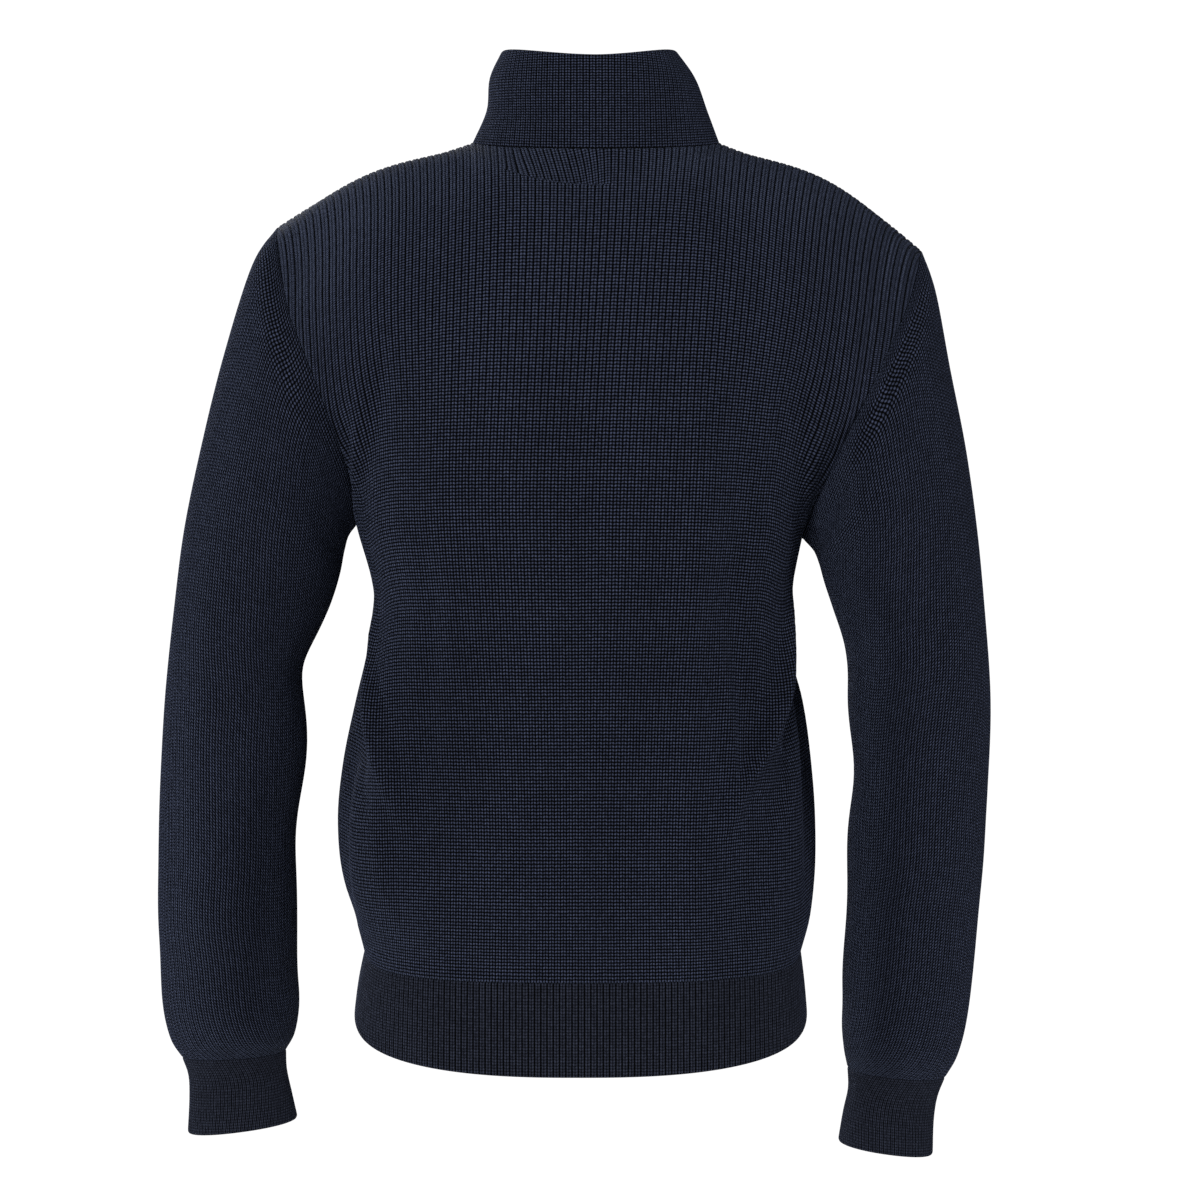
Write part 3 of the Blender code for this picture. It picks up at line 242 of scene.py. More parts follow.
CUFF_LEFT = table(
    "outer_x outer_z inner_x inner_z middle_y half_depth",
    (0.3025, -0.652, 0.2280, -0.648, -0.032, 0.0350),
    (0.2980, -0.666, 0.2275, -0.663, -0.033, 0.0320),
    (0.2975, -0.684, 0.2240, -0.680, -0.034, 0.0315),
    (0.2990, -0.709, 0.2200, -0.699, -0.036, 0.0330),
)
CUFF_RIGHT = table(
    "outer_x outer_z inner_x inner_z middle_y half_depth",
    (-0.2550, -0.667, -0.1850, -0.661, -0.032, 0.0350),
    (-0.2495, -0.682, -0.1855, -0.677, -0.033, 0.0315),
    (-0.2470, -0.700, -0.1820, -0.694, -0.034, 0.0310),
    (-0.2465, -0.725, -0.1785, -0.716, -0.036, 0.0320),
)

# The collar, from the neck seam up: half widths and depth of each ring, and its heights at
# the back, the sides and the front.
COLLAR = table(
    "up left right back front back_z side_z front_z",
    (0.00, 0.088, -0.088, 0.068, -0.062, 0.000, 0.012, -0.056),
    (0.30, 0.0785, -0.080, 0.064, -0.065, 0.020, 0.033, -0.034),
    (0.70, 0.0755, -0.070, 0.060, -0.066, 0.046, 0.059, -0.006),
    (1.00, 0.0670, -0.057, 0.057, -0.062, 0.0665, 0.0770, 0.016),
)

# The largest folds. Each runs down a panel from top to foot: `across` is its place as a share
# of the half width (+ is the wearer's left), `lean` how far it moves across on the way down.
FOLDS = {
    "back": table(
        "across top foot lean width height",
        (0.66, -0.330, -0.555, -0.02, 0.085, 0.0050),
        (0.82, -0.345, -0.550, 0.02, 0.075, -0.0080),
        (-0.72, -0.300, -0.470, 0.26, 0.080, 0.0050),
        (-0.86, -0.325, -0.545, 0.14, 0.080, -0.0080),
        (-0.46, -0.310, -0.500, 0.02, 0.060, 0.0030),
        (0.84, -0.170, -0.262, 0.06, 0.070, 0.0040),
        (-0.84, -0.170, -0.266, -0.06, 0.070, 0.0040),
    ),
    "front": table(
        "across top foot lean width height",
        (0.60, -0.320, -0.555, 0.05, 0.085, 0.0050),
        (0.78, -0.350, -0.550, -0.02, 0.075, -0.0070),
        (-0.62, -0.300, -0.500, 0.10, 0.080, 0.0050),
        (-0.80, -0.330, -0.550, 0.06, 0.080, -0.0070),
        (0.80, -0.150, -0.262, -0.10, 0.080, -0.0050),
        (-0.80, -0.155, -0.266, 0.10, 0.080, -0.0050),
    ),
}
FOLD_END = 0.7  # under 1, a fold keeps its height nearer to its ends
FOLD_MARGIN = 0.06  # share of the half width beside a side seam that stays flat

# Creases across a sleeve: `down` is the place along it, `around` from the outer edge (0) by
# the back (0.25) to the inner edge (0.5).
SLEEVE_CREASES = {
    "left": table(
        "down around reach length height",
        (0.455, 0.52, 0.16, 0.045, -0.0050),
        (0.545, 0.46, 0.18, 0.050, 0.0030),
        (0.640, 0.55, 0.20, 0.050, -0.0030),
    ),
    "right": table(
        "down around reach length height",
        (0.500, 0.49, 0.16, 0.045, 0.0025),
        (0.575, 0.52, 0.18, 0.045, -0.0045),
        (0.700, 0.45, 0.20, 0.050, -0.0025),
    ),
}
CREASE_FREE = (0.2, 0.1)  # shares of a sleeve at its top and foot without creases
ARMHOLE_RINGS = 4  # rings over which a sleeve loses the armhole's own form
ARMHOLE_KEPT = 0.7  # how much of that form the first ring has


# ---------------------------------------------------------------- curves


def smooth_through(keys, values, at):
    """A smooth curve through values at keys, read at the places in `at`."""
    keys = np.asarray(keys, float)
    values = np.asarray(values, float)
    at = np.clip(np.asarray(at, float), keys.min(), keys.max())
    slopes = np.gradient(values, keys, axis=0)
    k = np.clip(np.searchsorted(keys, at, side="right") - 1, 0, len(keys) - 2)
    step = keys[k + 1] - keys[k]
    t = (at - keys[k]) / step
    if values.ndim > 1:
        step, t = step[..., None], t[..., None]
    return (
        (2 * t**3 - 3 * t**2 + 1) * values[k]
        + (t**3 - 2 * t**2 + t) * step * slopes[k]
        + (3 * t**2 - 2 * t**3) * values[k + 1]
        + (t**3 - t**2) * step * slopes[k + 1]
    )


def smoothstep(low, high, value):
    t = np.clip((value - low) / (high - low), 0.0, 1.0)
    return t * t * (3 - 2 * t)


def lengths_along(points):
    """How far along a line of points each of them lies."""
    steps = np.linalg.norm(np.diff(points, axis=0), axis=1)
    return np.concatenate([[0], np.cumsum(steps)])


def point_at(place, keys, points):
    """The points at some places on the straight lines between points at keys."""
    return np.stack([np.interp(place, keys, points[:, k]) for k in range(3)], axis=-1)


def evenly_along(points, count):
    """`count` + 1 points at equal steps along a line of points."""
    lengths = lengths_along(points)
    return point_at(np.linspace(0, lengths[-1], count + 1), lengths, points)


def looked_up(sections, key, at):
    """Every column of a table, read smoothly at places in its column `key`."""
    return {name: smooth_through(sections[key], sections[name], at) for name in sections}


def quarter_arc(share, squareness, flatness):
    """The place (along, out) on a quarter superellipse at each share of its length.

    It starts at (0, 1), the middle of the back, and ends at (1, 0), the side.
    """
    angle = np.linspace(0, math.pi / 2, ARC_POINTS)
    along = np.sin(angle) ** (2 / squareness)
    out = np.cos(angle) ** (2 / squareness)
    step = np.hypot(np.diff(along), flatness * np.diff(out))
    length = np.concatenate([[0], np.cumsum(step)])
    share = np.clip(share, 0, 1) * length[-1]
    return np.interp(share, length, along), np.interp(share, length, out)


def unit(vectors):
    return vectors / np.maximum(np.linalg.norm(vectors, axis=-1, keepdims=True), 1e-12)


def grid_normals(grid, inside, ring=False):
    """The outward direction at each point of a grid; `inside` is a point or points within."""
    if ring:
        wrapped = np.concatenate([grid[:, -2:-1], grid, grid[:, 1:2]], axis=1)
        across = (wrapped[:, 2:] - wrapped[:, :-2]) / 2
    else:
        across = np.gradient(grid, axis=1)
    up = np.gradient(grid, axis=0)
    normals = unit(np.cross(across, up))
    outward = np.sign((normals * (grid - inside)).sum(axis=-1).mean())
    return normals * outward


# ---------------------------------------------------------------- the surfaces


def ring_row(panel, across, wide, deep, middle_z, side_z, sharpness):
    """Half a ring round the torso. `wide` and `side_z` are given for the left and right."""
    points = np.empty((len(across), 3))
    depth = deep - SIDE_SEAM_Y
    for side, sign in (("left", 1), ("right", -1)):
        here = across * sign >= 0
        share = np.abs(across[here])
        half = wide[side] - MIDDLE_X[panel]
        along, out = quarter_arc(share, SQUARENESS, abs(depth / half))
        points[here, 0] = MIDDLE_X[panel] + half * along
        points[here, 1] = SIDE_SEAM_Y + depth * out
        points[here, 2] = middle_z + (side_z[side] - middle_z) * share**sharpness
    return points


def torso_row(panel, share_up, across):
    """One row round the torso: share_up is 0 at the hem's join and 1 at the armpit."""
    middle_z = HEM_JOIN["middle"] + (ARMPIT_Z["middle"] - HEM_JOIN["middle"]) * share_up
    side_z = {
        side: HEM_JOIN["side"] + (ARMPIT_Z[side] - HEM_JOIN["side"]) * share_up
        for side in ("left", "right")
    }
    wide = {side: smooth_through(TORSO["z"], TORSO[side], side_z[side]) for side in side_z}
    deep = smooth_through(TORSO["z"], TORSO[panel], middle_z)
    sharpness = JOIN_SHARPNESS + (ARMPIT_SHARPNESS - JOIN_SHARPNESS) * share_up
    return ring_row(panel, across, wide, deep, middle_z, side_z, sharpness)


def top_row(panel, across):
    """The panel's top edge: shoulder seam, neckline, shoulder seam."""
    points = np.empty((len(across), 3))
    middle = np.array(BACK_NECK if panel == "back" else FRONT_NECK)
    for side, sign in (("left", 1), ("right", -1)):
        neck = np.array(NECK_SIDE[side])
        tip = armhole_point(side, panel, 1.0)
        place = across * sign
        on_neck = (place >= 0) & (place <= NECK_ACROSS)
        angle = place[on_neck] / NECK_ACROSS * math.pi / 2
        points[on_neck, 0] = neck[0] * np.sin(angle)
        points[on_neck, 1] = neck[1] + (middle[1] - neck[1]) * np.cos(angle)
        fall = 1 - np.cos(angle) if panel == "back" else np.sin(angle) ** NECK_ROUND
        points[on_neck, 2] = middle[2] + (neck[2] - middle[2]) * fall
        on_shoulder = place > NECK_ACROSS
        along = ((place[on_shoulder] - NECK_ACROSS) / (1 - NECK_ACROSS))[:, None]
        line = neck + (tip - neck) * along
        line[:, 2] += SHOULDER_ARCH[side] * np.sin(math.pi * along[:, 0] ** ARCH_LEAN)
        points[on_shoulder] = line
    return points


def armhole_point(side, panel, rise):
    line = np.stack([ARMHOLES[side, panel][axis] for axis in "xyz"], axis=1)
    keys = lengths_along(line)
    return smooth_through(keys / keys[-1], line, rise)


def yoke_line(panel, name, rise):
    """The place (y, z) on one of the yoke's upright lines."""
    line = YOKE[panel, name]
    return np.array([smooth_through(line["rise"], line[axis], rise) for axis in "yz"])


def yoke_row(panel, rise, across):
    """One row above the armpit: rise is 0 at the armpit and 1 at the top edge."""
    left, right = armhole_point("left", panel, rise), armhole_point("right", panel, rise)
    centre, neck, shoulder = (
        yoke_line(panel, name, rise) for name in ("centre", "neck", "shoulder")
    )
    droop = armhole_point("right", panel, 1.0)[2] - armhole_point("left", panel, 1.0)[2]
    right_shoulder = shoulder + (0.0, droop / 2 * rise**2)
    stations = (-1, -SHOULDER_ACROSS, -NECK_ACROSS, 0, NECK_ACROSS, SHOULDER_ACROSS, 1)
    lines = np.array([right[1:], right_shoulder, neck, centre, neck, shoulder, left[1:]])
    points = np.empty((len(across), 3))
    middle_x = MIDDLE_X[panel] * (1 - smoothstep(0, 1, rise))
    points[:, 0] = np.where(
        across >= 0,
        middle_x + (left[0] - middle_x) * across,
        middle_x - (right[0] - middle_x) * across,
    )
    points[:, 1:] = smooth_through(stations, lines, across)
    return points


def lifted(folds, ends, across, z):
    """How far a table of folds lifts the cloth at a place on a panel.

    With `ends` under 1, a fold keeps its height nearer to its ends.
    """
    total = np.zeros(np.broadcast(across, z).shape)
    for place, top, foot, lean, width, height in zip(*folds.values()):
        down = np.clip((top - z) / (top - foot), 0, 1)
        centre = place + lean * (down - 0.5)
        swell = np.exp(-(((across - centre) / width) ** 2))
        total += height * np.sin(math.pi * down) ** ends * swell
    return total * np.clip((1 - np.abs(across)) / FOLD_MARGIN, 0, 1)


def axis_points(grid):
    """Points inside the torso beside each point of a grid."""
    inside = grid.copy()
    inside[..., 0] *= 0.5
    inside[..., 1] = 0.0
    inside[..., 2] = np.minimum(grid[..., 2] - AXIS_BELOW, AXIS_TOP)
    return inside


def sleeve_ring(sections, place, columns):
    """A ring of a sleeve: from its outer edge by the back and the inner edge to the front."""
    keys = np.arange(len(sections["outer_x"]))
    read = {name: smooth_through(keys, sections[name], place) for name in sections}
    outer = np.array([read["outer_x"], read["middle_y"], read["outer_z"]])
    inner = np.array([read["inner_x"], read["middle_y"], read["inner_z"]])
    centre, half = (outer + inner) / 2, (outer - inner) / 2
    angle = np.linspace(0, math.pi, ARC_POINTS)
    power = 2 / SLEEVE_SQUARENESS
    wide = np.sign(np.cos(angle)) * np.abs(np.cos(angle)) ** power
    deep = np.sin(angle) ** power * read["half_depth"]
    back, front = (
        centre + wide[:, None] * half + np.array([[0.0, sign, 0.0]]) * deep[:, None]
        for sign in (1, -1)
    )
    halves = evenly_along(back, columns // 2), evenly_along(front[::-1], columns // 2)
    return np.concatenate([halves[0], halves[1][1:]])


def collar_ring(up, angle):
    """A ring of the collar at a share of its height."""
    read = looked_up(COLLAR, "up", up)
    side_y = NECK_SIDE["left"][1]
    sine, cosine = np.sin(angle), np.cos(angle)
    at_back = cosine >= 0
    x = np.where(sine >= 0, read["left"], -read["right"]) * sine
    y = side_y + np.where(at_back, read["back"] - side_y, side_y - read["front"]) * cosine
    end_z = np.where(at_back, read["back_z"], read["front_z"])
    z = end_z + (read["side_z"] - end_z) * np.abs(sine) ** NECK_ROUND
    return np.stack([x, y, z], axis=1)


# ---------------------------------------------------------------- the looks' own sizes

ARMPIT_LEVEL, TOP_LEVEL, ZIP_FOOT_LEVEL = 7, 15, 9  # rows up a panel from the hem's join
BASE_COLUMNS = 481  # places across on which each surface is worked out
EDGE_BLEND = 0.85  # the place across past which a panel's rows follow the armhole
EDGE_RISE = 0.1  # the rise over which they come to do so
LEAST_UPRIGHT = 0.02  # of the way ribs run where the cloth lies flat
SEAM_EASE = 3  # a collar keeps the neck seam's form for 1 / SEAM_EASE of its height
YOKE_SOFT_SHARE = 0.027  # share of a panel's width over which the yoke is evened out

# The ribs across one pitch, as heights over the surface between the solids' ribs.
RIB_SAMPLES = 6
RIB_HEIGHTS = (-0.00010, 0.00065, 0.00080, 0.00050, 0.00080, 0.00065, -0.00010)
RIB_MIDDLE = 0.0005
RIB_PITCH = table(
    "level pitch",
    (0.0, 0.00410),
    (2.0, 0.00404),
    (4.0, 0.00424),
    (7.0, 0.00470),
    (11.0, 0.00482),
    (13.0, 0.00500),
    (15.0, 0.00535),
)
SLEEVE_PITCH = table("level pitch", (0, 0.00440), (5, 0.00425), (9, 0.00405), (12, 0.00395))
HEM_PITCH, CUFF_PITCH, COLLAR_PITCH = 0.0043, 0.0027, 0.0044
CUFF_RELIEF = 0.6
COLLAR_LIP = (0.0012, 0.0012)  # the collar's foot stands a little over the panels
PANEL_COURSE, BAND_COURSE, COLLAR_COURSE = 0.0024, 0.0021, 0.0020

# How an edge rolls over: its height at the very edge, and how far in the roll reaches.
SEAM_ROLL = (-0.0006, 0.0020)
TOP_ROLL = (-0.0015, 0.0036)
FOLD_ROLL = (-0.0007, 0.0024)
ROLL_ROWS = (0.08, 0.25, 0.5, 1.0)  # shares of that reach with a row of their own
INNER_BACKSET = 0.0002  # the inside's edge lies this much deeper
# How far a band runs on under the cloth it is linked to, and its height there.
BAND_TONGUE = (0.0012, -0.0011)
COLLAR_TONGUE = (0.0014, -0.0019)

# Rows up each kind of piece, and its length, on which its edges' rolls are placed.
ROWS = {"panel": 118, "sleeve": 108, "hem": 12, "cuff": 12, "collar": 16}
LENGTHS = {"panel": 0.60, "sleeve": 0.60, "hem": 0.065, "cuff": 0.06, "collar": 0.07}
INNER_ROWS = 3  # outer rows to each row of the plain inside
INNER_SHARES = np.unique(np.concatenate([
    (0.0, 0.0015, 0.004, 0.996, 0.9985, 1.0), np.linspace(0.016, 0.984, 56),
]))

# The smaller hollows and swells between the largest folds, down a panel and round a sleeve.
DRAPE = {
    "back": table(
        "across top foot lean width height",
        (0.84, -0.090, -0.235, 0.00, 0.060, 0.0022),
        (0.72, -0.110, -0.240, 0.02, 0.050, -0.0018),
        (-0.78, -0.100, -0.245, 0.00, 0.055, -0.0024),
        (-0.90, -0.110, -0.250, 0.00, 0.050, 0.0020),
        (0.10, -0.400, -0.560, 0.10, 0.120, 0.0012),
        (-0.20, -0.360, -0.540, -0.06, 0.100, 0.0014),
        (0.40, -0.340, -0.520, 0.05, 0.090, -0.0014),
        (-0.55, -0.420, -0.560, 0.08, 0.070, -0.0020),
        (0.67, -0.310, -0.480, -0.37, 0.034, 0.0090),
        (0.78, -0.310, -0.480, -0.34, 0.050, -0.0100),
        (0.59, -0.410, -0.540, -0.06, 0.040, 0.0025),
        (-0.63, -0.310, -0.480, 0.45, 0.034, 0.0105),
        (-0.76, -0.300, -0.480, 0.40, 0.055, -0.0125),
        (-0.46, -0.330, -0.490, 0.00, 0.030, 0.0032),
        (0.46, -0.240, -0.520, -0.04, 0.045, -0.0022),
        (0.02, -0.300, -0.500, 0.00, 0.055, -0.0016),
        (-0.34, -0.140, -0.600, 0.04, 0.060, 0.0036),
        (-0.49, -0.140, -0.600, 0.04, 0.070, -0.0056),
    ),
    "front": table(
        "across top foot lean width height",
        (0.84, -0.110, -0.245, -0.04, 0.060, 0.0022),
        (-0.82, -0.110, -0.245, 0.04, 0.055, 0.0024),
        (0.25, -0.350, -0.550, 0.08, 0.110, 0.0016),
        (-0.15, -0.380, -0.560, -0.05, 0.110, 0.0014),
        (-0.42, -0.330, -0.540, 0.05, 0.080, -0.0016),
        (0.45, -0.400, -0.560, -0.03, 0.080, -0.0016),
        (0.66, -0.310, -0.480, -0.20, 0.040, 0.0045),
        (0.75, -0.310, -0.480, -0.18, 0.050, -0.0065),
        (-0.69, -0.300, -0.470, 0.24, 0.040, 0.0050),
        (-0.78, -0.300, -0.470, 0.22, 0.050, -0.0070),
        (-0.35, -0.300, -0.520, -0.10, 0.050, 0.0018),
    ),
}
SLEEVE_DRAPE = {
    "left": table(
        "down around reach length height",
        (0.160, 0.40, 0.10, 0.100, -0.0030),
        (0.340, 0.36, 0.12, 0.060, -0.0022),
        (0.420, 0.16, 0.10, 0.050, 0.0018),
        (0.500, 0.30, 0.10, 0.035, -0.0020),
        (0.720, 0.15, 0.14, 0.040, 0.0018),
        (0.800, 0.40, 0.14, 0.035, -0.0022),
        (0.300, 0.80, 0.14, 0.090, -0.0022),
        (0.560, 0.85, 0.12, 0.045, -0.0026),
    ),
    "right": table(
        "down around reach length height",
        (0.150, 0.40, 0.10, 0.100, -0.0030),
        (0.360, 0.34, 0.12, 0.060, -0.0020),
        (0.440, 0.17, 0.10, 0.050, 0.0018),
        (0.540, 0.28, 0.10, 0.040, -0.0022),
        (0.660, 0.14, 0.14, 0.040, 0.0016),
        (0.820, 0.40, 0.14, 0.035, -0.0022),
        (0.290, 0.80, 0.14, 0.090, -0.0022),
        (0.580, 0.82, 0.12, 0.045, -0.0024),
    ),
}

# Colours, as linear light.
KNIT_COLOUR = (0.0470, 0.0570, 0.0990)
STITCH_WANDER = 0.22  # of a course
CLOSE_COLUMNS, CLOSE_COURSES = 0.22, 0.30
SHEEN, SHEEN_TINT = 0.10, (0.50, 0.62, 0.95, 1.0)
TAPE_COLOUR = (0.013, 0.017, 0.034)
TAPE_THREADS = 9000.0  # radians per metre of the tape's weave
TEETH_COLOUR = (0.010, 0.012, 0.020)
METAL_TINTS = (0.20, 0.20, 0.21, 1.0), (0.36, 0.36, 0.37, 1.0)
# Fineness of the unevenness in each material, in grains per metre.
YARN_GRAIN, FIBRE_GRAIN, PATCH_GRAIN = 160.0, 1400.0, 22.0
SPECK_GRAIN, WEAR_GRAIN, BRUSHED_GRAIN = 900.0, 420.0, (9000.0, 9000.0, 700.0)
FIBRE_RELIEF = 0.12  # of a stitch's height
TAPE_BUMP, METAL_BUMP = 0.0001, 0.00002

# The zip, from the slit's foot to the collar's top edge.
TAPE_DEPTH, TAPE_THICK, TAPE_RIBS = 0.0004, 0.0010, 2.3
# Points across a tape's corded inner edge: how far from the zip's middle, and how thick,
# where 1 is the tape's own thickness.
TAPE_CORD = ((0.0022, 0.0), (0.0026, 1.6), (0.0032, 1.6), (0.0037, 1.0))
TOOTH_PITCH = 0.0024
TOOTH_OUTLINE = (  # across from the middle line, and along it
    (0.0031, 0.00055), (0.0012, 0.00045), (0.0003, 0.00060), (-0.0005, 0.00050),
    (-0.0008, 0.00018), (-0.0008, -0.00018), (-0.0005, -0.00050), (0.0003, -0.00060),
    (0.0012, -0.00045), (0.0031, -0.00055),
)
# Layers of a tooth: how far out, and its outline's size, drawn in towards its waist.
TOOTH_LAYERS = ((0.0011, 0.78), (0.0008, 1.0), (-0.0008, 1.0), (-0.0011, 0.78))
TOOTH_WAIST = 0.0012
CHAIN_TOP, CHAIN_FOOT = 0.0030, 0.0042
STITCH_STEP, STITCH_LONG, STITCH_THICK = 0.0032, 0.0023, 0.00028
STITCH_FIRST, STITCH_LAST = 0.002, 0.004  # from the slit's foot, and from the collar's edge
STITCH_SIDES, STITCH_FLAT = 6, 1.2  # flat: how much wider than high
# Rings along a stitch: the share of its length, and of its thickness.
STITCH_ENDS = ((0.0, 0.25), (0.12, 0.8), (0.35, 1.0), (0.65, 1.0), (0.88, 0.8), (1.0, 0.25))
STITCH_IN_RIBS = 0.8  # from the slit's edge
STITCH_HEIGHT = 0.0006
SLIT_OPEN = 0.0056  # half the slit's width
TAPE_STEPS = 90

# Slider and tab, across and down from the collar's top edge; the bridge goes out and down.
SLIDER_BODY = ((-0.0042, 0.0), (0.0042, 0.0), (0.0042, 0.0066), (0.0031, 0.0115),
               (-0.0031, 0.0115), (-0.0042, 0.0066))
SLIDER_POST = ((-0.0009, 0.0002), (0.0009, 0.0002), (0.0007, 0.0026), (-0.0007, 0.0026))
SLIDER_WALL = ((0.0034, 0.0026), (0.0042, 0.0022), (0.0042, 0.0066), (0.0031, 0.0115),
               (0.0024, 0.0113), (0.0034, 0.0064))
SLIDER_BRIDGE = ((0.0024, 0.0010), (0.0048, 0.0010), (0.0058, 0.0028), (0.0058, 0.0082),
                 (0.0048, 0.0100), (0.0024, 0.0100), (0.0024, 0.0086), (0.0046, 0.0080),
                 (0.0049, 0.0066), (0.0049, 0.0044), (0.0046, 0.0030), (0.0024, 0.0026))
TAB_OUTLINE = ((-0.0022, 0.0049), (0.0022, 0.0049), (0.0026, 0.0110), (0.0028, 0.0300),
               (0.0020, 0.0340), (-0.0020, 0.0340), (-0.0028, 0.0300), (-0.0026, 0.0110))
TAB_LOOP = ((-0.0012, 0.0061), (0.0012, 0.0061), (0.0013, 0.0115), (-0.0013, 0.0115))
TAB_HOLE, TAB_HOLE_DOWN, HOLE_CORNERS = 0.0010, 0.0308, 16
SLIDER_OUT, WALL_OUT, TAB_OUT = 0.0022, 0.00125, 0.0038  # middles of the plates
# Radius of the corners of each outline.
ROUND = {"body": 0.0011, "post": 0.0006, "wall": 0.0004, "bridge": 0.0012, "tab": 0.0013,
         "loop": 0.0006, "stop": 0.0006}
# Thickness and rounding of each kind of plate; the slider and the tab are of the first.
PLATE, POST_PLATE = (0.0012, 0.0003), (0.0036, 0.0001)
WALL_PLATE, BRIDGE_PLATE, STOP_PLATE = (0.0011, 0.0002), (0.0020, 0.0004), (0.0030, 0.0005)
STOP_HALF, STOP_ALONG = 0.0023, (0.0008, 0.0036)

ALL_SEAMS = {edge: SEAM_ROLL for edge in ("foot", "top", "low", "high")}
PANEL_EDGES = {**ALL_SEAMS, "top": TOP_ROLL}
BAND_EDGES = {**ALL_SEAMS, "top": FOLD_ROLL}
COLLAR_EDGES = {"foot": COLLAR_LIP, "top": FOLD_ROLL, "low": FOLD_ROLL, "high": FOLD_ROLL}
# The hem's and cuffs' navy: the body's yarn set darker, painted shade for the bands, which hang low
# in less light.
SHADED_BAND_COLOUR = (0.0235, 0.0272, 0.0430)
BODY_STITCH = (0.0009, 1.10, 0.10)
# Each kind of knit: its name and colour, then its stitches' depth, spread and slant.
KNIT_LOOKS = {
    "body": ("knit_rib", KNIT_COLOUR, *BODY_STITCH),
    "collar": ("knit_collar_rib", KNIT_COLOUR, *BODY_STITCH),
    "hem": ("knit_hem_rib", SHADED_BAND_COLOUR, 0.0007, 0.85, 0.12),
    "cuff": ("knit_cuff_rib", SHADED_BAND_COLOUR, 0.0005, 0.80, 0.12),
}
# How far the ribs part, up a panel and down a sleeve; the material's painted shade between the ribs
# deepens with it.
PANEL_OPENNESS = table(
    "level share", (0, 0.35), (3, 0.20), (7, 0.28), (9, 0.45), (11, 0.80), (15, 1.0))
SLEEVE_OPENNESS = table("level share", (0, 0.40), (3, 0.20), (6, 0.20), (9, 0.32), (12, 0.40))
COLLAR_OPENNESS = 0.7
SHUT_RELIEF = 0.4  # share of the ribs' height that is left where they don't part
# The short rows at the back of the neck, whose ribs lean on the wearer's left.
WEDGE_LEVEL, WEDGE_LEAN = 14.09, 1.3
WEDGE_RIBS = (-3.0, 3.0, 8.0, 13.0)
KINK_STEP = 0.02  # of a level
# Over the shoulders the courses slope down outwards, from this far off the middle.
COURSE_SLOPE, SLOPE_FROM, SLOPE_BEND, SLOPE_LEVELS = 0.70, 0.06, 0.06, (9.0, 14.5)
PLAIN_LEVELS = 9.0, 12.0  # where ribs come to be counted straight across the wearer

ROOM_COLOUR, ROOM_LIGHT, ROOM_SEEN = (0.95, 0.97, 1.0, 1.0), 0.19, 1.05
FLOOR_REACH, FLOOR_LEVEL, FLOOR_COLOUR = 1.0, -1.0, (0.85, 0.85, 0.85, 1.0)
LIGHT_TARGET = (0.0, 0.0, -0.32)
LIGHTS = (
    ("key", (0.9, 2.6, -0.05), (1.4, 1.8), 55.0),
    ("fill", (-2.5, 1.0, -0.15), (0.8, 1.6), 35.0),
    ("side_key", (2.5, 1.0, -0.45), (0.7, 1.5), 25.0),
    ("back_fill", (-0.3, 3.0, 0.0), (1.4, 1.4), 4.0),
    ("front_key", (0.9, -2.3, 0.6), (1.4, 1.6), 55.0),
)
CAMERA_PLACE = (-0.0029, 2.4, -0.2455)
CAMERA_TARGET = (-0.0029, 0.0, -0.3175)

# ---------------------------------------------------------------- fine surfaces


def way_up(points):
    """The direction up a line or grid of points, from row to row."""
    return unit(np.gradient(points, axis=0))


class Surface:
    """A piece's surface between the ribs, densely across and row by row up.

    `ribs` counts ribs from the middle of the piece, `levels` says where the rows are, and
    `rise` how far the courses run ahead of their length up.
    """

    def __init__(self, points, inside, levels, pitch, rib_way=None, ring=False, plain=None):
        self.points = points
        self.levels = levels
        self.normals = grid_normals(points, inside, ring)
        across = np.gradient(points, axis=1)
        way = way_up(points) if rib_way is None else rib_way(self.normals, levels)
        step = across - way * (across * way).sum(axis=-1, keepdims=True)
        step = np.linalg.norm(step, axis=-1)
        if plain is not None:
            step += (np.abs(across[..., 0]) - step) * plain[:, None]
        run = np.zeros(step.shape)
        run[:, 1:] = np.cumsum((step[:, 1:] + step[:, :-1]) / 2, axis=1)
        self.rise = np.zeros(step.shape)
        middle = points.shape[1] // 2
        self.pitch = np.broadcast_to(pitch, len(levels))
        self.ribs = (run - run[:, middle:middle + 1]) / self.pitch[:, None]

    def at(self, counts):
        """Points and normals at rib counts given row by row."""
        points, normals = np.empty((*counts.shape, 3)), np.empty((*counts.shape, 3))
        for row, count in enumerate(counts):
            points[row] = point_at(count, self.ribs[row], self.points[row])
            normals[row] = point_at(count, self.ribs[row], self.normals[row])
        return points, unit(normals)


def panel_rib_way(panel):
    """The way ribs run up a panel: upright round the body, and over the shoulders in planes
    across the wearer."""
    sign = 1 if panel == "back" else -1

    def way(normals, levels):
        over = smoothstep(ARMPIT_LEVEL - 1, ARMPIT_LEVEL + 2, levels)[:, None]
        ways = np.zeros(normals.shape)
        ways[..., 1] = -sign * over * normals[..., 2]
        ways[..., 2] = np.maximum(sign * normals[..., 1], LEAST_UPRIGHT)
        return unit(ways)

    return way


def softened(rows, columns, weights):
    """Rows evened out from side to side by a soft window, as much as each row's weight."""
    reach = 3 * columns
    window = np.exp(-0.5 * (np.arange(-reach, reach + 1) / columns) ** 2)
    window /= window.sum()
    result = rows.copy()
    for row, weight in zip(result, weights):
        if weight == 0:
            continue
        for k in (1, 2):
            line = row[:, k]
            low = 2 * line[0] - line[reach:0:-1]
            high = 2 * line[-1] - line[-2:-reach - 2:-1]
            soft = np.convolve(np.concatenate([low, line, high]), window, mode="valid")
            row[:, k] = line + (soft - line) * weight
    return result


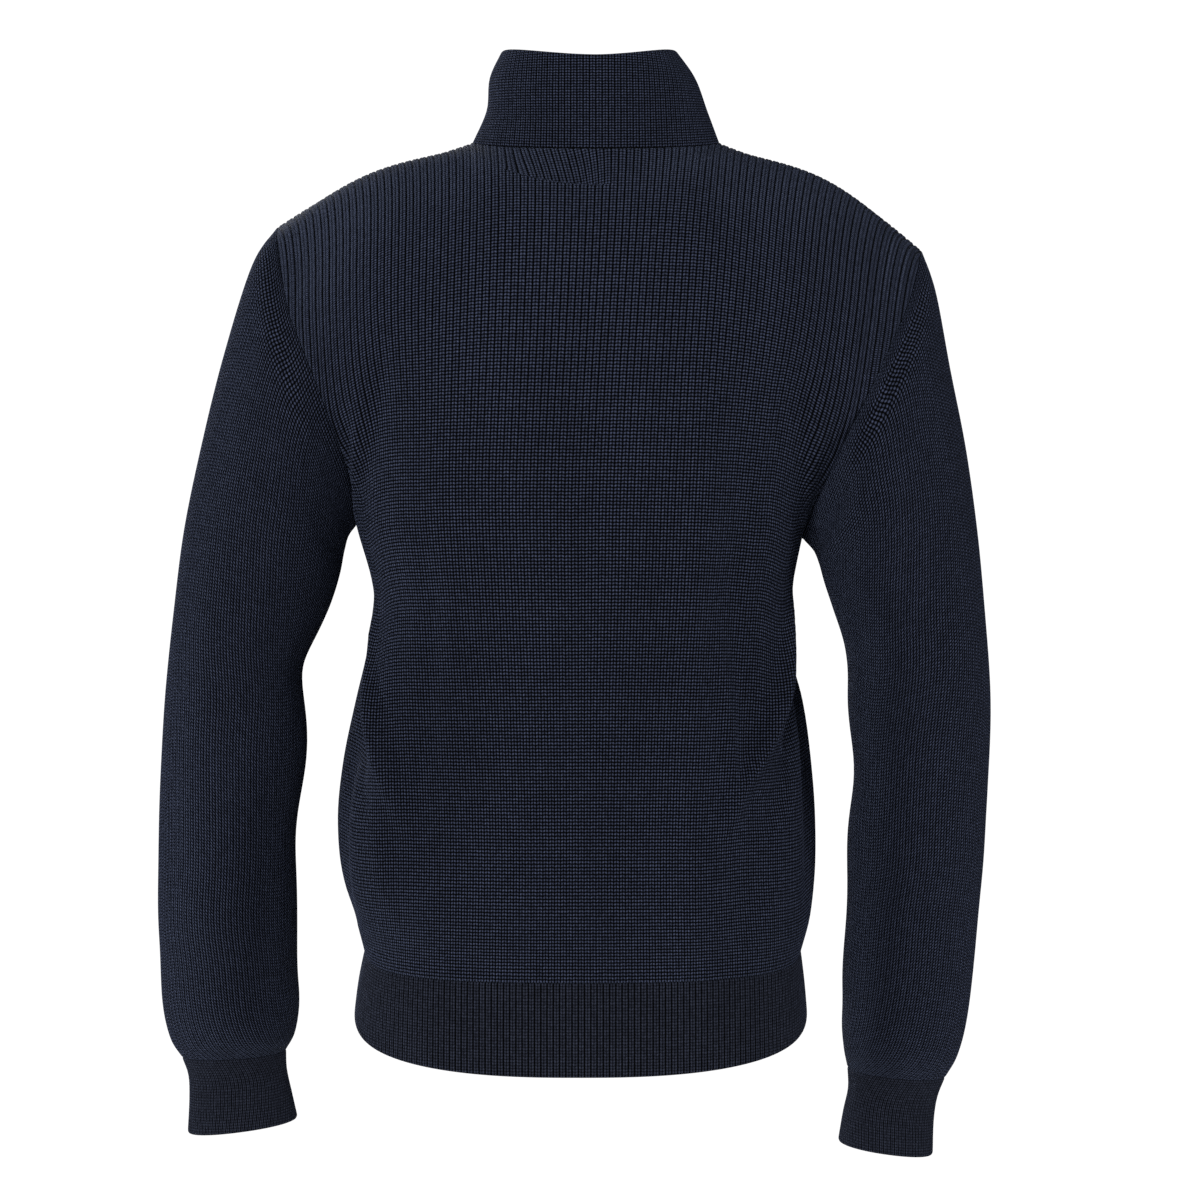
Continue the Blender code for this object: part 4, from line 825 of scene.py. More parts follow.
def panel_surface(panel, levels):
    across = np.linspace(-1, 1, BASE_COLUMNS)
    armpit = torso_row(panel, 1.0, across)
    armpit_error = armpit - yoke_row(panel, 0.0, across)
    top_error = top_row(panel, across) - yoke_row(panel, 1.0, across)
    rows = []
    for level in levels:
        if level <= ARMPIT_LEVEL:
            rows.append(torso_row(panel, level / ARMPIT_LEVEL, across))
            continue
        rise = (level - ARMPIT_LEVEL) / (TOP_LEVEL - ARMPIT_LEVEL)
        row = yoke_row(panel, rise, across)
        row += armpit_error * (1 - smoothstep(0, ROW_BLEND, rise))
        row += top_error * smoothstep(ROW_BLEND, 1, rise)
        for side, end, sign in (("left", -1, 1), ("right", 0, -1)):
            error = (armhole_point(side, panel, rise) - row[end]) * smoothstep(0, EDGE_RISE, rise)
            row += error * smoothstep(EDGE_BLEND, 1, sign * across)[:, None]
        rows.append(row)
    rows = np.array(rows)
    weights = smoothstep(0, 1, levels - ARMPIT_LEVEL) * smoothstep(0, 1, TOP_LEVEL - levels)
    rows = softened(rows, int(YOKE_SOFT_SHARE * BASE_COLUMNS / 2), weights)
    normals = grid_normals(rows, axis_points(rows))
    lift = lifted(FOLDS[panel], FOLD_END, across[None, :], rows[..., 2])
    lift += lifted(DRAPE[panel], 1.0, across[None, :], rows[..., 2])
    rows = rows + normals * lift[..., None]
    pitch = smooth_through(RIB_PITCH["level"], RIB_PITCH["pitch"], levels)
    surface = Surface(rows, axis_points(rows), levels, pitch, panel_rib_way(panel),
                      plain=smoothstep(*PLAIN_LEVELS, levels))
    if panel == "back":
        up = (levels - WEDGE_LEVEL) / (TOP_LEVEL - WEDGE_LEVEL)
        lean = np.where(up > 0, WEDGE_LEAN * (1 - up), 0.0)[:, None]
        first, full, last, end = WEDGE_RIBS
        near = smoothstep(first, full, surface.ribs) - smoothstep(last, end, surface.ribs)
        surface.ribs = surface.ribs + lean * near
    outward = np.abs(rows[..., 0])
    bend = np.clip((outward - SLOPE_FROM) / SLOPE_BEND, 0, 1)
    surface.rise = COURSE_SLOPE * (SLOPE_BEND * bend**2 / 2
                                   + np.maximum(outward - SLOPE_FROM - SLOPE_BEND, 0))
    surface.rise *= smoothstep(*SLOPE_LEVELS, levels)[:, None]
    return surface


def hem_surface(panel, levels):
    across = np.linspace(-1, 1, BASE_COLUMNS)
    rows = []
    for down in levels:
        read = looked_up(HEM_FOOT, "down", down)
        side_z = {side: read["side_z"] for side in ("left", "right")}
        rows.append(ring_row(panel, across, read, read[panel], read["middle_z"], side_z,
                             read["sharpness"]))
    rows = np.array(rows)
    inside = rows.mean(axis=(0, 1)) * (1, 0, 1)
    return Surface(rows, inside, levels, HEM_PITCH)


def armhole_ring(side, around, panels):
    """The armhole's line round from the inner edge by the front, the outer edge and the back,
    along the edges of the panels."""
    level = ARMPIT_LEVEL + (TOP_LEVEL - ARMPIT_LEVEL) * (1 - 2 * np.abs(around))
    end = {"left": -1, "right": 0}[side]
    front, back = (point_at(level, panels[name].levels, panels[name].points[:, end])
                   for name in ("front", "back"))
    return np.where((around < 0)[:, None], front, back)


def ring_from_inside(sections, place):
    """A sleeve's ring from its inner edge by the front, the outer edge and the back."""
    ring = sleeve_ring(sections, place, BASE_COLUMNS - 1)
    half = BASE_COLUMNS // 2
    return np.concatenate([ring[half:], ring[1:half + 1]])


def sleeve_surface(side, levels, panels):
    sections = {"left": SLEEVE_LEFT, "right": SLEEVE_RIGHT}[side]
    around = np.linspace(-0.5, 0.5, BASE_COLUMNS)
    armhole = armhole_ring(side, around, panels)
    own = ring_from_inside(sections, 0)
    rings = np.arange(ARMHOLE_RINGS + 1)
    kept = ARMHOLE_KEPT * (1 - rings / ARMHOLE_RINGS) ** 2
    kept[0] = 1.0
    rows = []
    for level in levels:
        share = smooth_through(rings, kept, level)
        rows.append(ring_from_inside(sections, level) + (armhole - own) * share)
    rows = np.array(rows)
    centres = rows.mean(axis=1, keepdims=True)
    normals = grid_normals(rows, centres, ring=True)
    down = (levels / levels[-1])[:, None]
    lift = np.zeros(rows.shape[:2])
    for creases in (SLEEVE_CREASES[side], SLEEVE_DRAPE[side]):
        for at, centre, reach, length, height in zip(*creases.values()):
            apart = (around[None, :] - centre + 0.5) % 1 - 0.5
            lift += height * np.exp(-((apart / reach) ** 2) - ((down - at) / length) ** 2)
    free_top, free_foot = CREASE_FREE
    lift *= smoothstep(0, free_top, down) * smoothstep(0, free_foot, 1 - down)
    rows = rows + normals * lift[..., None]
    pitch = smooth_through(SLEEVE_PITCH["level"], SLEEVE_PITCH["pitch"], levels)
    return Surface(rows, centres, levels, pitch, ring=True)


def cuff_surface(side, levels):
    sections = {"left": CUFF_LEFT, "right": CUFF_RIGHT}[side]
    rows = np.array([ring_from_inside(sections, level) for level in levels])
    return Surface(rows, rows.mean(axis=1, keepdims=True), levels, CUFF_PITCH, ring=True)


def collar_surface(levels):
    """The collar from the neck seam (level 0) to its top edge (1), round from the zip's right
    edge by the back to its left edge."""
    slit = SLIT_HALF_WIDTH / NECK_SIDE["left"][0]
    angle = np.linspace(-1, 1, BASE_COLUMNS) * (math.pi - math.asin(slit))
    seam = collar_ring(0.0, angle)
    at_back = np.cos(angle) > 0
    rise = NECK_SIDE["left"][2] - BACK_NECK[2]
    seam[at_back, 2] = BACK_NECK[2] + rise * (1 - np.cos(angle[at_back]))
    error = seam - collar_ring(0.0, angle)
    rows = [collar_ring(up, angle) + error * max(0.0, 1 - SEAM_EASE * up) ** 2
            for up in levels]
    rows = np.array(rows)
    return Surface(rows, rows.mean(axis=(0, 1)), levels, COLLAR_PITCH)


# ---------------------------------------------------------------- knitted shells


def edge_levels(kind, high, top_roll=SEAM_ROLL):
    """Rows from 0 to high up a kind of piece, with more of them where an edge rolls over."""
    extra = []
    for end, other, (_, reach) in ((0, high, SEAM_ROLL), (high, 0, top_roll)):
        for share in ROLL_ROWS:
            extra.append(end + (other - end) * share * reach / LENGTHS[kind])
    inner = np.linspace(0, high, ROWS[kind] + 1)
    return np.unique(np.concatenate([inner, extra]).round(6))


def rib_profile(counts):
    """The ribs' height at each count of ribs: a deep groove between ribs, a shallow one on
    the middle of each."""
    return np.interp(counts % 1.0, np.arange(RIB_SAMPLES + 1) / RIB_SAMPLES, RIB_HEIGHTS)


def rolled(height, distance, end, reach):
    """A height that rolls over to `end` at an edge."""
    share = np.clip(distance / reach, 0, 1)
    return end + (height - end) * np.sqrt(1 - (1 - share) ** 2)


def in_scene(name, data):
    item = bpy.data.objects.new(name, data)
    bpy.context.scene.collection.objects.link(item)
    return item


def closed_up(mesh, weld=0.0):
    """Joins a mesh's points that lie within `weld`, and turns its faces outwards."""
    edit = bmesh.new()
    edit.from_mesh(mesh)
    if weld:
        bmesh.ops.remove_doubles(edit, verts=edit.verts, dist=weld)
    bmesh.ops.recalc_face_normals(edit, faces=edit.faces)
    edit.to_mesh(mesh)
    edit.free()


class Shell:
    """The points and faces of one knitted piece, with ribs outside and a plain inside."""

    def __init__(self):
        self.points, self.counts, self.faces, self.size = [], [], [], 0

    def add(self, points, counts):
        """Keeps points with what the material reads there, and gives their numbers."""
        shape = points.shape[:-1]
        self.points.append(points.reshape(-1, 3))
        self.counts.append(np.stack(np.broadcast_arrays(*counts), axis=-1).reshape(-1, 3))
        numbers = np.arange(self.size, self.size + self.points[-1].shape[0]).reshape(shape)
        self.size += numbers.size
        return numbers

    def join(self, numbers):
        """Faces over a grid of point numbers, where a clipped edge repeats a number."""
        a, b = numbers[:-1, :-1].ravel(), numbers[:-1, 1:].ravel()
        c, d = numbers[1:, 1:].ravel(), numbers[1:, :-1].ravel()
        low, high = a != b, c != d
        self.faces += np.stack([a, b, c, d], axis=1)[low & high].tolist()
        self.faces += np.stack([a, b, d], axis=1)[low & ~high].tolist()
        self.faces += np.stack([a, c, d], axis=1)[~low & high].tolist()

    def lace(self, first, second):
        """Joins two lines of point numbers, evenly from end to end, by triangles."""
        i = j = 0
        while i < len(first) - 1 or j < len(second) - 1:
            ahead = i / max(len(first) - 1, 1) <= j / max(len(second) - 1, 1)
            if j == len(second) - 1 or (ahead and i < len(first) - 1):
                self.faces.append([int(first[i]), int(first[i + 1]), int(second[j])])
                i += 1
            else:
                self.faces.append([int(first[i]), int(second[j + 1]), int(second[j])])
                j += 1

    def build(self, name, material, weld=0.0):
        mesh = bpy.data.meshes.new(name)
        mesh.from_pydata(np.concatenate(self.points), [], self.faces)
        store = mesh.attributes.new("knit", "FLOAT_VECTOR", "POINT")
        counts = np.concatenate(self.counts)
        store.data.foreach_set("vector", counts.astype(np.float32).ravel())
        closed_up(mesh, weld)
        mesh.shade_smooth()
        mesh.materials.append(material)
        return in_scene(name, mesh)


def trimmed(line):
    """A line of point numbers without its repeats."""
    keep = np.concatenate([[True], np.diff(line) != 0])
    return line[keep]


def run_on(points, past):
    """The same rows of points, with the first one moved on past its edge."""
    first = points[0] + unit(points[0] - points[1]) * past
    return np.concatenate([first[None], points[1:]])


def knit(shell, surface, edges, low=None, high=None, open_rows=None, course=PANEL_COURSE,
         relief=1.0, openness=1.0, tongue=None):
    """Adds one stretch of knit to a shell, between rib counts low and high of each row.

    `edges` holds, for the foot, top, low and high edge, the height at the edge and how far in
    it rolls over. `openness` is how far the ribs part, from 0 to 1, at each row. `open_rows`
    names the low or high edge and the rows where it is an edge at all; past them the cloth
    goes on in the next stretch. `tongue` runs the foot's own row on past the seam, out of sight.
    """
    low = surface.ribs[:, 0] if low is None else low
    high = surface.ribs[:, -1] if high is None else high
    first = math.floor(low.min() * RIB_SAMPLES)
    last = math.ceil(high.max() * RIB_SAMPLES)
    counts = np.arange(first, last + 1)[None, :] / RIB_SAMPLES
    counts = np.clip(counts, low[:, None], high[:, None])
    points, normals = surface.at(counts)
    length = np.linalg.norm(np.diff(points, axis=0), axis=-1)
    up = np.concatenate([np.zeros((1, counts.shape[1])), np.cumsum(length, axis=0)])
    rise = np.array([
        np.interp(count, *pair) for count, *pair in zip(counts, surface.ribs, surface.rise)
    ])
    courses = (up + rise) / course

    def edge_distances(at, up_here):
        found = {
            "foot": up_here,
            "top": up_here[-1:] - up_here,
            "low": (at - low[:, None]) * surface.pitch[:, None],
            "high": (high[:, None] - at) * surface.pitch[:, None],
        }
        if open_rows is not None:
            edge, rows = open_rows
            found[edge] = np.where(rows[:, None], found[edge], 1.0)
        return found

    openness = np.broadcast_to(openness, len(low))[:, None]
    height = RIB_MIDDLE + (rib_profile(counts) - RIB_MIDDLE) * relief * (
        SHUT_RELIEF + (1 - SHUT_RELIEF) * openness)
    for edge, distance in edge_distances(counts, up).items():
        end, reach = edges[edge]
        height = rolled(height, distance, end, reach)
    if tongue:
        points, height[0] = run_on(points, tongue[0]), tongue[1]
    outer = points + normals * height[..., None]
    numbers = shell.add(outer, (counts, courses, openness))
    # Past an edge every column is the edge's own point.
    columns = np.arange(counts.shape[1])[None, :]
    start = (counts <= low[:, None]).sum(axis=1, keepdims=True) - 1
    stop = counts.shape[1] - (counts >= high[:, None]).sum(axis=1, keepdims=True)
    held = np.clip(columns, np.maximum(start, 0), np.minimum(stop, counts.shape[1] - 1))
    numbers = np.take_along_axis(numbers, held, axis=1)
    shell.join(numbers)

    inner_counts = low[:, None] + (high - low)[:, None] * INNER_SHARES[None, :]
    inner_points, inner_normals = surface.at(inner_counts)
    inner_up = np.array([
        np.interp(wanted, have, values) for wanted, have, values in zip(inner_counts, counts, up)
    ])
    depth = np.full(inner_counts.shape, -WALL)
    for edge, distance in edge_distances(inner_counts, inner_up).items():
        end, reach = edges[edge]
        depth = rolled(depth, distance, end - INNER_BACKSET, reach)
    if tongue:
        inner_points, depth[0] = run_on(inner_points, tongue[0]), tongue[1] - INNER_BACKSET
    inside = inner_points + inner_normals * depth[..., None]
    reach = max(reach for _, reach in edges.values())
    middle = inner_up[:, inner_up.shape[1] // 2]
    near_edge = (middle < reach) | (middle[-1] - middle < reach)
    rows = np.flatnonzero(near_edge | (np.arange(len(low)) % INNER_ROWS == 0))
    if open_rows is not None:
        rows = np.union1d(rows, np.flatnonzero(np.diff(open_rows[1].astype(int))) + [[0], [1]])
    inner = shell.add(inside[rows], (inner_counts[rows], inner_up[rows] / course, openness[rows]))
    shell.join(inner)
    shell.lace(trimmed(numbers[0]), inner[0])
    shell.lace(trimmed(numbers[-1]), inner[-1])
    for edge, column in (("low", 0), ("high", -1)):
        outer_line, inner_line = numbers[:, column], inner[:, column]
        if open_rows is not None and open_rows[0] == edge:
            foot = np.flatnonzero(open_rows[1])[0] - 1
            outer_line = outer_line[foot:]
            inner_line = inner_line[rows >= foot]
        shell.lace(outer_line, inner_line)


# ---------------------------------------------------------------- materials


class Value:
    """A node's output, on which sums, differences and products build further nodes."""

    def __init__(self, nodes, socket):
        self.nodes, self.socket = nodes, socket

    def __add__(self, other):
        return self.nodes.math("ADD", self, other)

    def __sub__(self, other):
        return self.nodes.math("SUBTRACT", self, other)

    def __rsub__(self, other):
        return self.nodes.math("SUBTRACT", other, self)

    def __mul__(self, other):
        return self.nodes.math("MULTIPLY", self, other)


class Nodes:
    """Short names for building a material's nodes."""

    def __init__(self, name):
        self.material = bpy.data.materials.new(name)
        self.material.use_nodes = True
        self.tree = self.material.node_tree
        self.shader = self.tree.nodes["Principled BSDF"]

    def put(self, socket, value):
        if isinstance(value, Value):
            self.tree.links.new(value.socket, socket)
        else:
            socket.default_value = value

    def node(self, kind, output=0, settings=None, **inputs):
        """One output of a new node, with its settings and its inputs given by name."""
        made = self.tree.nodes.new(kind)
        for name, value in (settings or {}).items():
            setattr(made, name, value)
        for name, value in inputs.items():
            self.put(made.inputs[name.replace("_", " ")], value)
        return Value(self, made.outputs[output])

    def math(self, operation, first, second=0.0):
        made = self.tree.nodes.new("ShaderNodeMath")
        made.operation = operation
        for socket, value in zip(made.inputs, (first, second)):
            self.put(socket, value)
        return Value(self, made.outputs[0])

    def ramp(self, value, low, high, to_low=0.0, to_high=1.0):
        return self.node("ShaderNodeMapRange", "Result", {"interpolation_type": "SMOOTHSTEP"},
                         Value=value, From_Min=low, From_Max=high, To_Min=to_low, To_Max=to_high)

    def split(self, vector):
        made = self.tree.nodes.new("ShaderNodeSeparateXYZ")
        self.put(made.inputs[0], vector)
        return [Value(self, made.outputs[axis]) for axis in "XYZ"]

    def place(self):
        return self.node("ShaderNodeTexCoord", "Object")

    def noise(self, place, scale, detail, **inputs):
        return self.node("ShaderNodeTexNoise", "Fac", Vector=place, Scale=scale, Detail=detail,
                         **inputs)

    def bump(self, height, distance):
        made = self.node("ShaderNodeBump", "Normal", Height=height, Distance=distance)
        self.put(self.shader.inputs["Normal"], made)

    def finish(self, colour=None, tone=None, **values):
        """The material, with a colour times a tone and the shader's values by name."""
        if colour:
            shade = self.node("ShaderNodeVectorMath", 0, {"operation": "SCALE"}, Scale=tone)
            shade.socket.node.inputs[0].default_value = colour
            self.put(self.shader.inputs["Base Color"], shade)
        for name, value in values.items():
            self.put(self.shader.inputs[name.replace("_", " ")], value)
        return self.material


def knit_material(name, colour, stitch_depth, course_share, slant):
    """Knit: two columns of stitches to a rib, each stitch a small slanted swelling.

    `course_share` is how much the stitches part from each other up a column.
    """
    n = Nodes(name)
    counts = n.node("ShaderNodeAttribute", "Vector", {"attribute_name": "knit"})
    ribs, courses, openness = n.split(counts)

    # Small unevenness of the yarn, so that no two stitches are quite alike.
    place = n.place()
    shift = (n.noise(place, YARN_GRAIN, 2.0) - 0.5) * STITCH_WANDER
    ribs = ribs + shift * 0.3
    rib_place = n.math("ABSOLUTE", n.math("FRACT", ribs) - 0.5)
    across = rib_place * 4.0 - 1.0
    # Where ribs part, the two columns of each lie closer together, and the courses too.
    across = across - n.math("MINIMUM", across, 0.0) * (openness * CLOSE_COLUMNS)
    along = courses + shift + across * slant
    up = (n.math("FRACT", along) - 0.5) * (2.0 * course_share - openness * CLOSE_COURSES)
    spread = n.math("SQRT", across * across + up * up)
    fibres = n.noise(place, FIBRE_GRAIN, 3.0, Roughness=0.6)
    n.bump(n.ramp(spread, 1.15, 0.0) + fibres * FIBRE_RELIEF, stitch_depth)

    # Painted shade: the colour is darkened between the ribs, the more as they part, and between the
    # stitches, where light is lost.
    flat = {"noise_dimensions": "2D"}
    groove = n.node("ShaderNodeCombineXYZ", X=n.math("FLOOR", ribs + 0.5), Y=courses * 0.04)
    depth = n.node("ShaderNodeTexNoise", "Fac", flat, Vector=groove, Scale=1.3, Detail=1.0)
    groove_shade = n.ramp(rib_place, 0.31, 0.47) * n.ramp(depth, 0.3, 0.6, 0.7, 1.0)
    tone = (1.0 - groove_shade * openness) * n.ramp(spread, 0.98, 0.20)
    # The yarn's own uneven colour: stitch by stitch, in patches and fibre by fibre.
    cell = n.node("ShaderNodeCombineXYZ", X=n.math("FLOOR", ribs * 2.0),
                  Y=n.math("FLOOR", along))
    own = n.node("ShaderNodeTexWhiteNoise", "Value", flat, Vector=cell)
    upright = n.node("ShaderNodeMapping", Vector=place, Scale=(1.0, 1.0, 0.25))
    tone = tone * n.ramp(own, 0.0, 1.0, 0.80, 1.18)
    tone = tone * n.ramp(n.noise(upright, PATCH_GRAIN, 2.0), 0.25, 0.75, 0.93, 1.07)
    tone = tone * n.ramp(fibres, 0.30, 0.70, 0.80, 1.22)
    return n.finish(colour, tone, Roughness=0.9, Specular_IOR_Level=0.05, Sheen_Weight=SHEEN,
                    Sheen_Roughness=0.3, Sheen_Tint=SHEEN_TINT)


def metal_material():
    """Satin metal, finely brushed along and worn in patches."""
    n = Nodes("dark_satin_metal")
    place = n.place()
    brushed = n.node("ShaderNodeMapping", Vector=place, Scale=BRUSHED_GRAIN)
    grain = n.noise(brushed, 1.0, 3.0)
    n.bump(grain, METAL_BUMP)
    tint = n.node("ShaderNodeValToRGB", "Color", Fac=grain)
    for end, colour in zip(tint.socket.node.color_ramp.elements, METAL_TINTS):
        end.color = colour
    wear = n.ramp(n.noise(place, WEAR_GRAIN, 4.0), 0.3, 0.7, 0.26, 0.46)
    return n.finish(Base_Color=tint, Roughness=wear, Metallic=1.0)


def tape_material():
    """Woven tape: fine herringbone threads."""
    n = Nodes("woven_tape")
    x, _, z = n.split(n.place())
    zigzag = n.math("PINGPONG", x, 0.0012)
    twill = n.math("SINE", (z + zigzag) * TAPE_THREADS)
    warp = n.math("SINE", x * TAPE_THREADS)
    weave = twill * 0.6 + warp * 0.4
    n.bump(weave, TAPE_BUMP)
    return n.finish(TAPE_COLOUR, n.ramp(weave, -1.0, 1.0, 0.6, 1.2), Roughness=0.8,
                    Specular_IOR_Level=0.15, Sheen_Weight=0.02)


def teeth_material():
    """Moulded teeth, a little specked."""
    n = Nodes("moulded_teeth")
    speck = n.noise(n.place(), SPECK_GRAIN, 3.0)
    return n.finish(TEETH_COLOUR, n.ramp(speck, 0.3, 0.7, 0.85, 1.15),
                    Roughness=n.ramp(speck, 0.3, 0.7, 0.30, 0.48))


# ---------------------------------------------------------------- pieces


def panel_levels(name):
    """Rows up a panel, with two more at the short rows' foot or the slit's foot."""
    kink = {"back": WEDGE_LEVEL, "front": ZIP_FOOT_LEVEL}[name]
    levels = edge_levels("panel", TOP_LEVEL, TOP_ROLL)
    return np.unique(np.append(levels, [kink, kink + KINK_STEP]))


def slit_gap(front):
    """The slit's half width, in ribs, at each row of the front, and 0 below it."""
    slit = SLIT_HALF_WIDTH / NECK_SIDE["left"][0] * NECK_ACROSS
    share = np.linspace(-1, 1, BASE_COLUMNS)
    at_slit = np.array([np.interp(slit, share, ribs) for ribs in front.ribs])
    even = SLIT_OPEN / front.pitch
    return np.where(front.levels > ZIP_FOOT_LEVEL, np.minimum(at_slit, even), 0.0)


def opened(shares, levels):
    return smooth_through(shares["level"], shares["share"], levels)


def make_cloth(node, surface, material, edges, **look):
    shell = Shell()
    knit(shell, surface, edges, **look)
    return shell.build(f"knit_{node}", material)


def make_front(surface, material):
    """The front, knitted as two halves that part at the slit."""
    shell = Shell()
    gap = slit_gap(surface)
    openness = opened(PANEL_OPENNESS, surface.levels)
    for edge, ribs in (("high", -gap), ("low", gap)):
        knit(shell, surface, PANEL_EDGES, open_rows=(edge, gap > 0), openness=openness,
             **{edge: ribs})
    return shell.build("knit_front_panel", material, weld=1e-6)


# ---------------------------------------------------------------- the zip


class ZipLine:
    """The zip's middle line from the slit's foot up, with its directions at any length."""

    def __init__(self, front, collar):
        above = front.levels >= ZIP_FOOT_LEVEL
        gap = slit_gap(front)
        gap[front.levels == ZIP_FOOT_LEVEL] = gap[gap > 0][0]
        self.edges, self.stitches = {}, {}
        for side, sign, end in (("right", -1, 0), ("left", 1, -1)):
            offsets = np.array([0.0, STITCH_IN_RIBS, TAPE_RIBS])
            on_panel = front.at(sign * (gap[:, None] + offsets))
            on_collar = collar.at(collar.ribs[:, end][:, None] - sign * offsets)
            points = np.concatenate([on_panel[0][above], on_collar[0][1:]])
            outs = np.concatenate([on_panel[1][above], on_collar[1][1:]])
            self.edges[side] = points[:, 0] - outs[:, 0] * WALL
            self.stitches[side] = points[:, 1] + outs[:, 1] * STITCH_HEIGHT, outs[:, 1]
            self.edges[side, "far"] = points[:, 2] - outs[:, 2] * WALL
            self.edges[side, "out"] = outs[:, 0]
        self.middle = (self.edges["left"] + self.edges["right"]) / 2
        self.across = unit(self.edges["left"] - self.edges["right"])
        self.out = unit(self.edges["left", "out"] + self.edges["right", "out"])
        self.upward = way_up(self.middle)
        self.length = lengths_along(self.middle)

    def at(self, length, *lines):
        """The values of some lines of points at a length up the zip."""
        return [point_at(length, self.length, line) for line in lines]

    def frame_at(self, length):
        """The middle of the tapes at a length, and the directions across, up and out there."""
        middle, across, out, ahead = self.at(length, self.middle, self.across, self.out,
                                             self.upward)
        out = unit(out - ahead * (out @ ahead))
        return middle - out * (TAPE_DEPTH + TAPE_THICK / 2), across, ahead, out


def tube_faces(first, rings, corners):
    """The faces of a closed tube: rings of points in turn, from point number `first` on."""
    rows = first + np.arange(rings * corners).reshape(rings, corners)
    ends = [rows[0].tolist(), rows[-1].tolist()]
    rows = np.concatenate([rows, rows[:, :1]], axis=1)
    sides = np.stack([rows[:-1, :-1], rows[:-1, 1:], rows[1:, 1:], rows[1:, :-1]], axis=-1)
    return ends + sides.reshape(-1, 4).tolist()


def make_tape(side, line, material):
    """A woven tape under one edge of the slit, with a cord along its inner edge."""
    rows = []
    for step in np.linspace(0, line.length[-1], TAPE_STEPS):
        middle, edge, far, out, own = line.at(
            step, line.middle, line.edges[side], line.edges[side, "far"], line.out,
            line.edges[side, "out"])
        across = unit(edge - middle)
        foot, under, end = (point - way * TAPE_DEPTH
                            for point, way in ((middle, out), (edge, own), (far, own)))
        lines = [(foot + across * past, out, thick) for past, thick in TAPE_CORD]
        lines += [(under, own, 1.0), ((under + end) / 2, own, 1.0), (end, own, 1.0),
                  (end, own, 0.0)]
        front, back = ([point + way * (sign * thick - 1) * TAPE_THICK / 2
                        for point, way, thick in lines] for sign in (1, -1))
        rows.append(front + back[-2:0:-1])
    rows = np.array(rows)
    return solid(f"woven_tape_{side}", rows.reshape(-1, 3), tube_faces(0, *rows.shape[:2]),
                 material)


def solid(name, points, faces, material, sharp=35.0):
    """A closed mesh object with smooth sides and crisp corners."""
    mesh = bpy.data.meshes.new(name)
    mesh.from_pydata([tuple(point) for point in points], [], faces)
    closed_up(mesh)
    mesh.shade_smooth()
    mesh.set_sharp_from_angle(angle=math.radians(sharp))
    mesh.materials.append(material)
    return in_scene(name, mesh)


def make_teeth(line, material):
    """Two rows of teeth that mesh in turn, each with a waist and a round head."""
    points, faces = [], []
    places = np.arange(CHAIN_FOOT, line.length[-1] - CHAIN_TOP, TOOTH_PITCH / 2)
    for k, place in enumerate(places):
        middle, across, out, ahead = line.at(place, line.middle, line.across, line.out,
                                             line.upward)
        across = across * (1 if k % 2 else -1)
        centre = middle - out * (TAPE_DEPTH + TAPE_THICK / 2)
        faces += tube_faces(len(points), len(TOOTH_LAYERS), len(TOOTH_OUTLINE))
        for depth, size in TOOTH_LAYERS:
            for reach, along in TOOTH_OUTLINE:
                reach = TOOTH_WAIST + (reach - TOOTH_WAIST) * size
                points.append(centre + across * reach + ahead * along * size + out * depth)
    return solid("zip_teeth", points, faces, material)


def make_stitching(line, material):
    """Small straight stitches down both sides of the slit."""
    points, faces = [], []
    for places, outs in (line.stitches["left"], line.stitches["right"]):
        length = lengths_along(places)
        for start in np.arange(STITCH_FIRST, length[-1] - STITCH_LAST, STITCH_STEP):
            foot, head = point_at(np.array([start, start + STITCH_LONG]), length, places)
            out = unit(point_at(start, length, outs))
            across = unit(np.cross(unit(head - foot), out))
            faces += tube_faces(len(points), len(STITCH_ENDS), STITCH_SIDES)
            for along, size in STITCH_ENDS:
                centre = foot + (head - foot) * along
                centre = centre + out * STITCH_THICK * (2 * math.sin(math.pi * along) - 1)
                for turn in np.arange(STITCH_SIDES) * 2 * math.pi / STITCH_SIDES:
                    way = across * math.cos(turn) * STITCH_FLAT + out * math.sin(turn)
                    points.append(centre + way * STITCH_THICK * size)
    return solid("zip_stitching", points, faces, material, sharp=80.0)


def plate(frame_here, outlines, middle, thick, bevel):
    """A plate with rounded edges. `outlines` are its outline and any holes, across and down;
    `frame_here` is an origin and the directions across, down and out."""
    curve = bpy.data.curves.new("plate", "CURVE")
    curve.dimensions = "2D"
    curve.fill_mode = "BOTH"
    curve.extrude = thick / 2 - bevel
    curve.bevel_depth = bevel
    curve.bevel_resolution = 2
    curve.offset = -bevel
    for outline in outlines:
        spline = curve.splines.new("POLY")
        spline.points.add(len(outline) - 1)
        spline.use_cyclic_u = True
        for point, (across, down) in zip(spline.points, outline):
            point.co = (across, down, 0.0, 1.0)
    holder = in_scene("plate", curve)
    drawn = holder.evaluated_get(bpy.context.evaluated_depsgraph_get())
    mesh = drawn.to_mesh()
    local = np.array([vertex.co for vertex in mesh.vertices])
    faces = [list(face.vertices) for face in mesh.polygons]
    drawn.to_mesh_clear()
    bpy.data.objects.remove(holder)
    origin, across, down, out = frame_here
    points = (origin + local[:, :1] * across + local[:, 1:2] * down
              + (local[:, 2:] + middle) * out)
    return points, faces


def joined(name, parts, material):
    """One metal piece of several plates."""
    points, faces, size = [], [], 0
    for some, theirs in parts:
        points.append(some)
        faces += [[size + i for i in face] for face in theirs]
        size += len(some)
    piece = solid(name, np.concatenate(points), faces, material, sharp=40.0)
    closed_up(piece.data, weld=2e-6)
    return piece


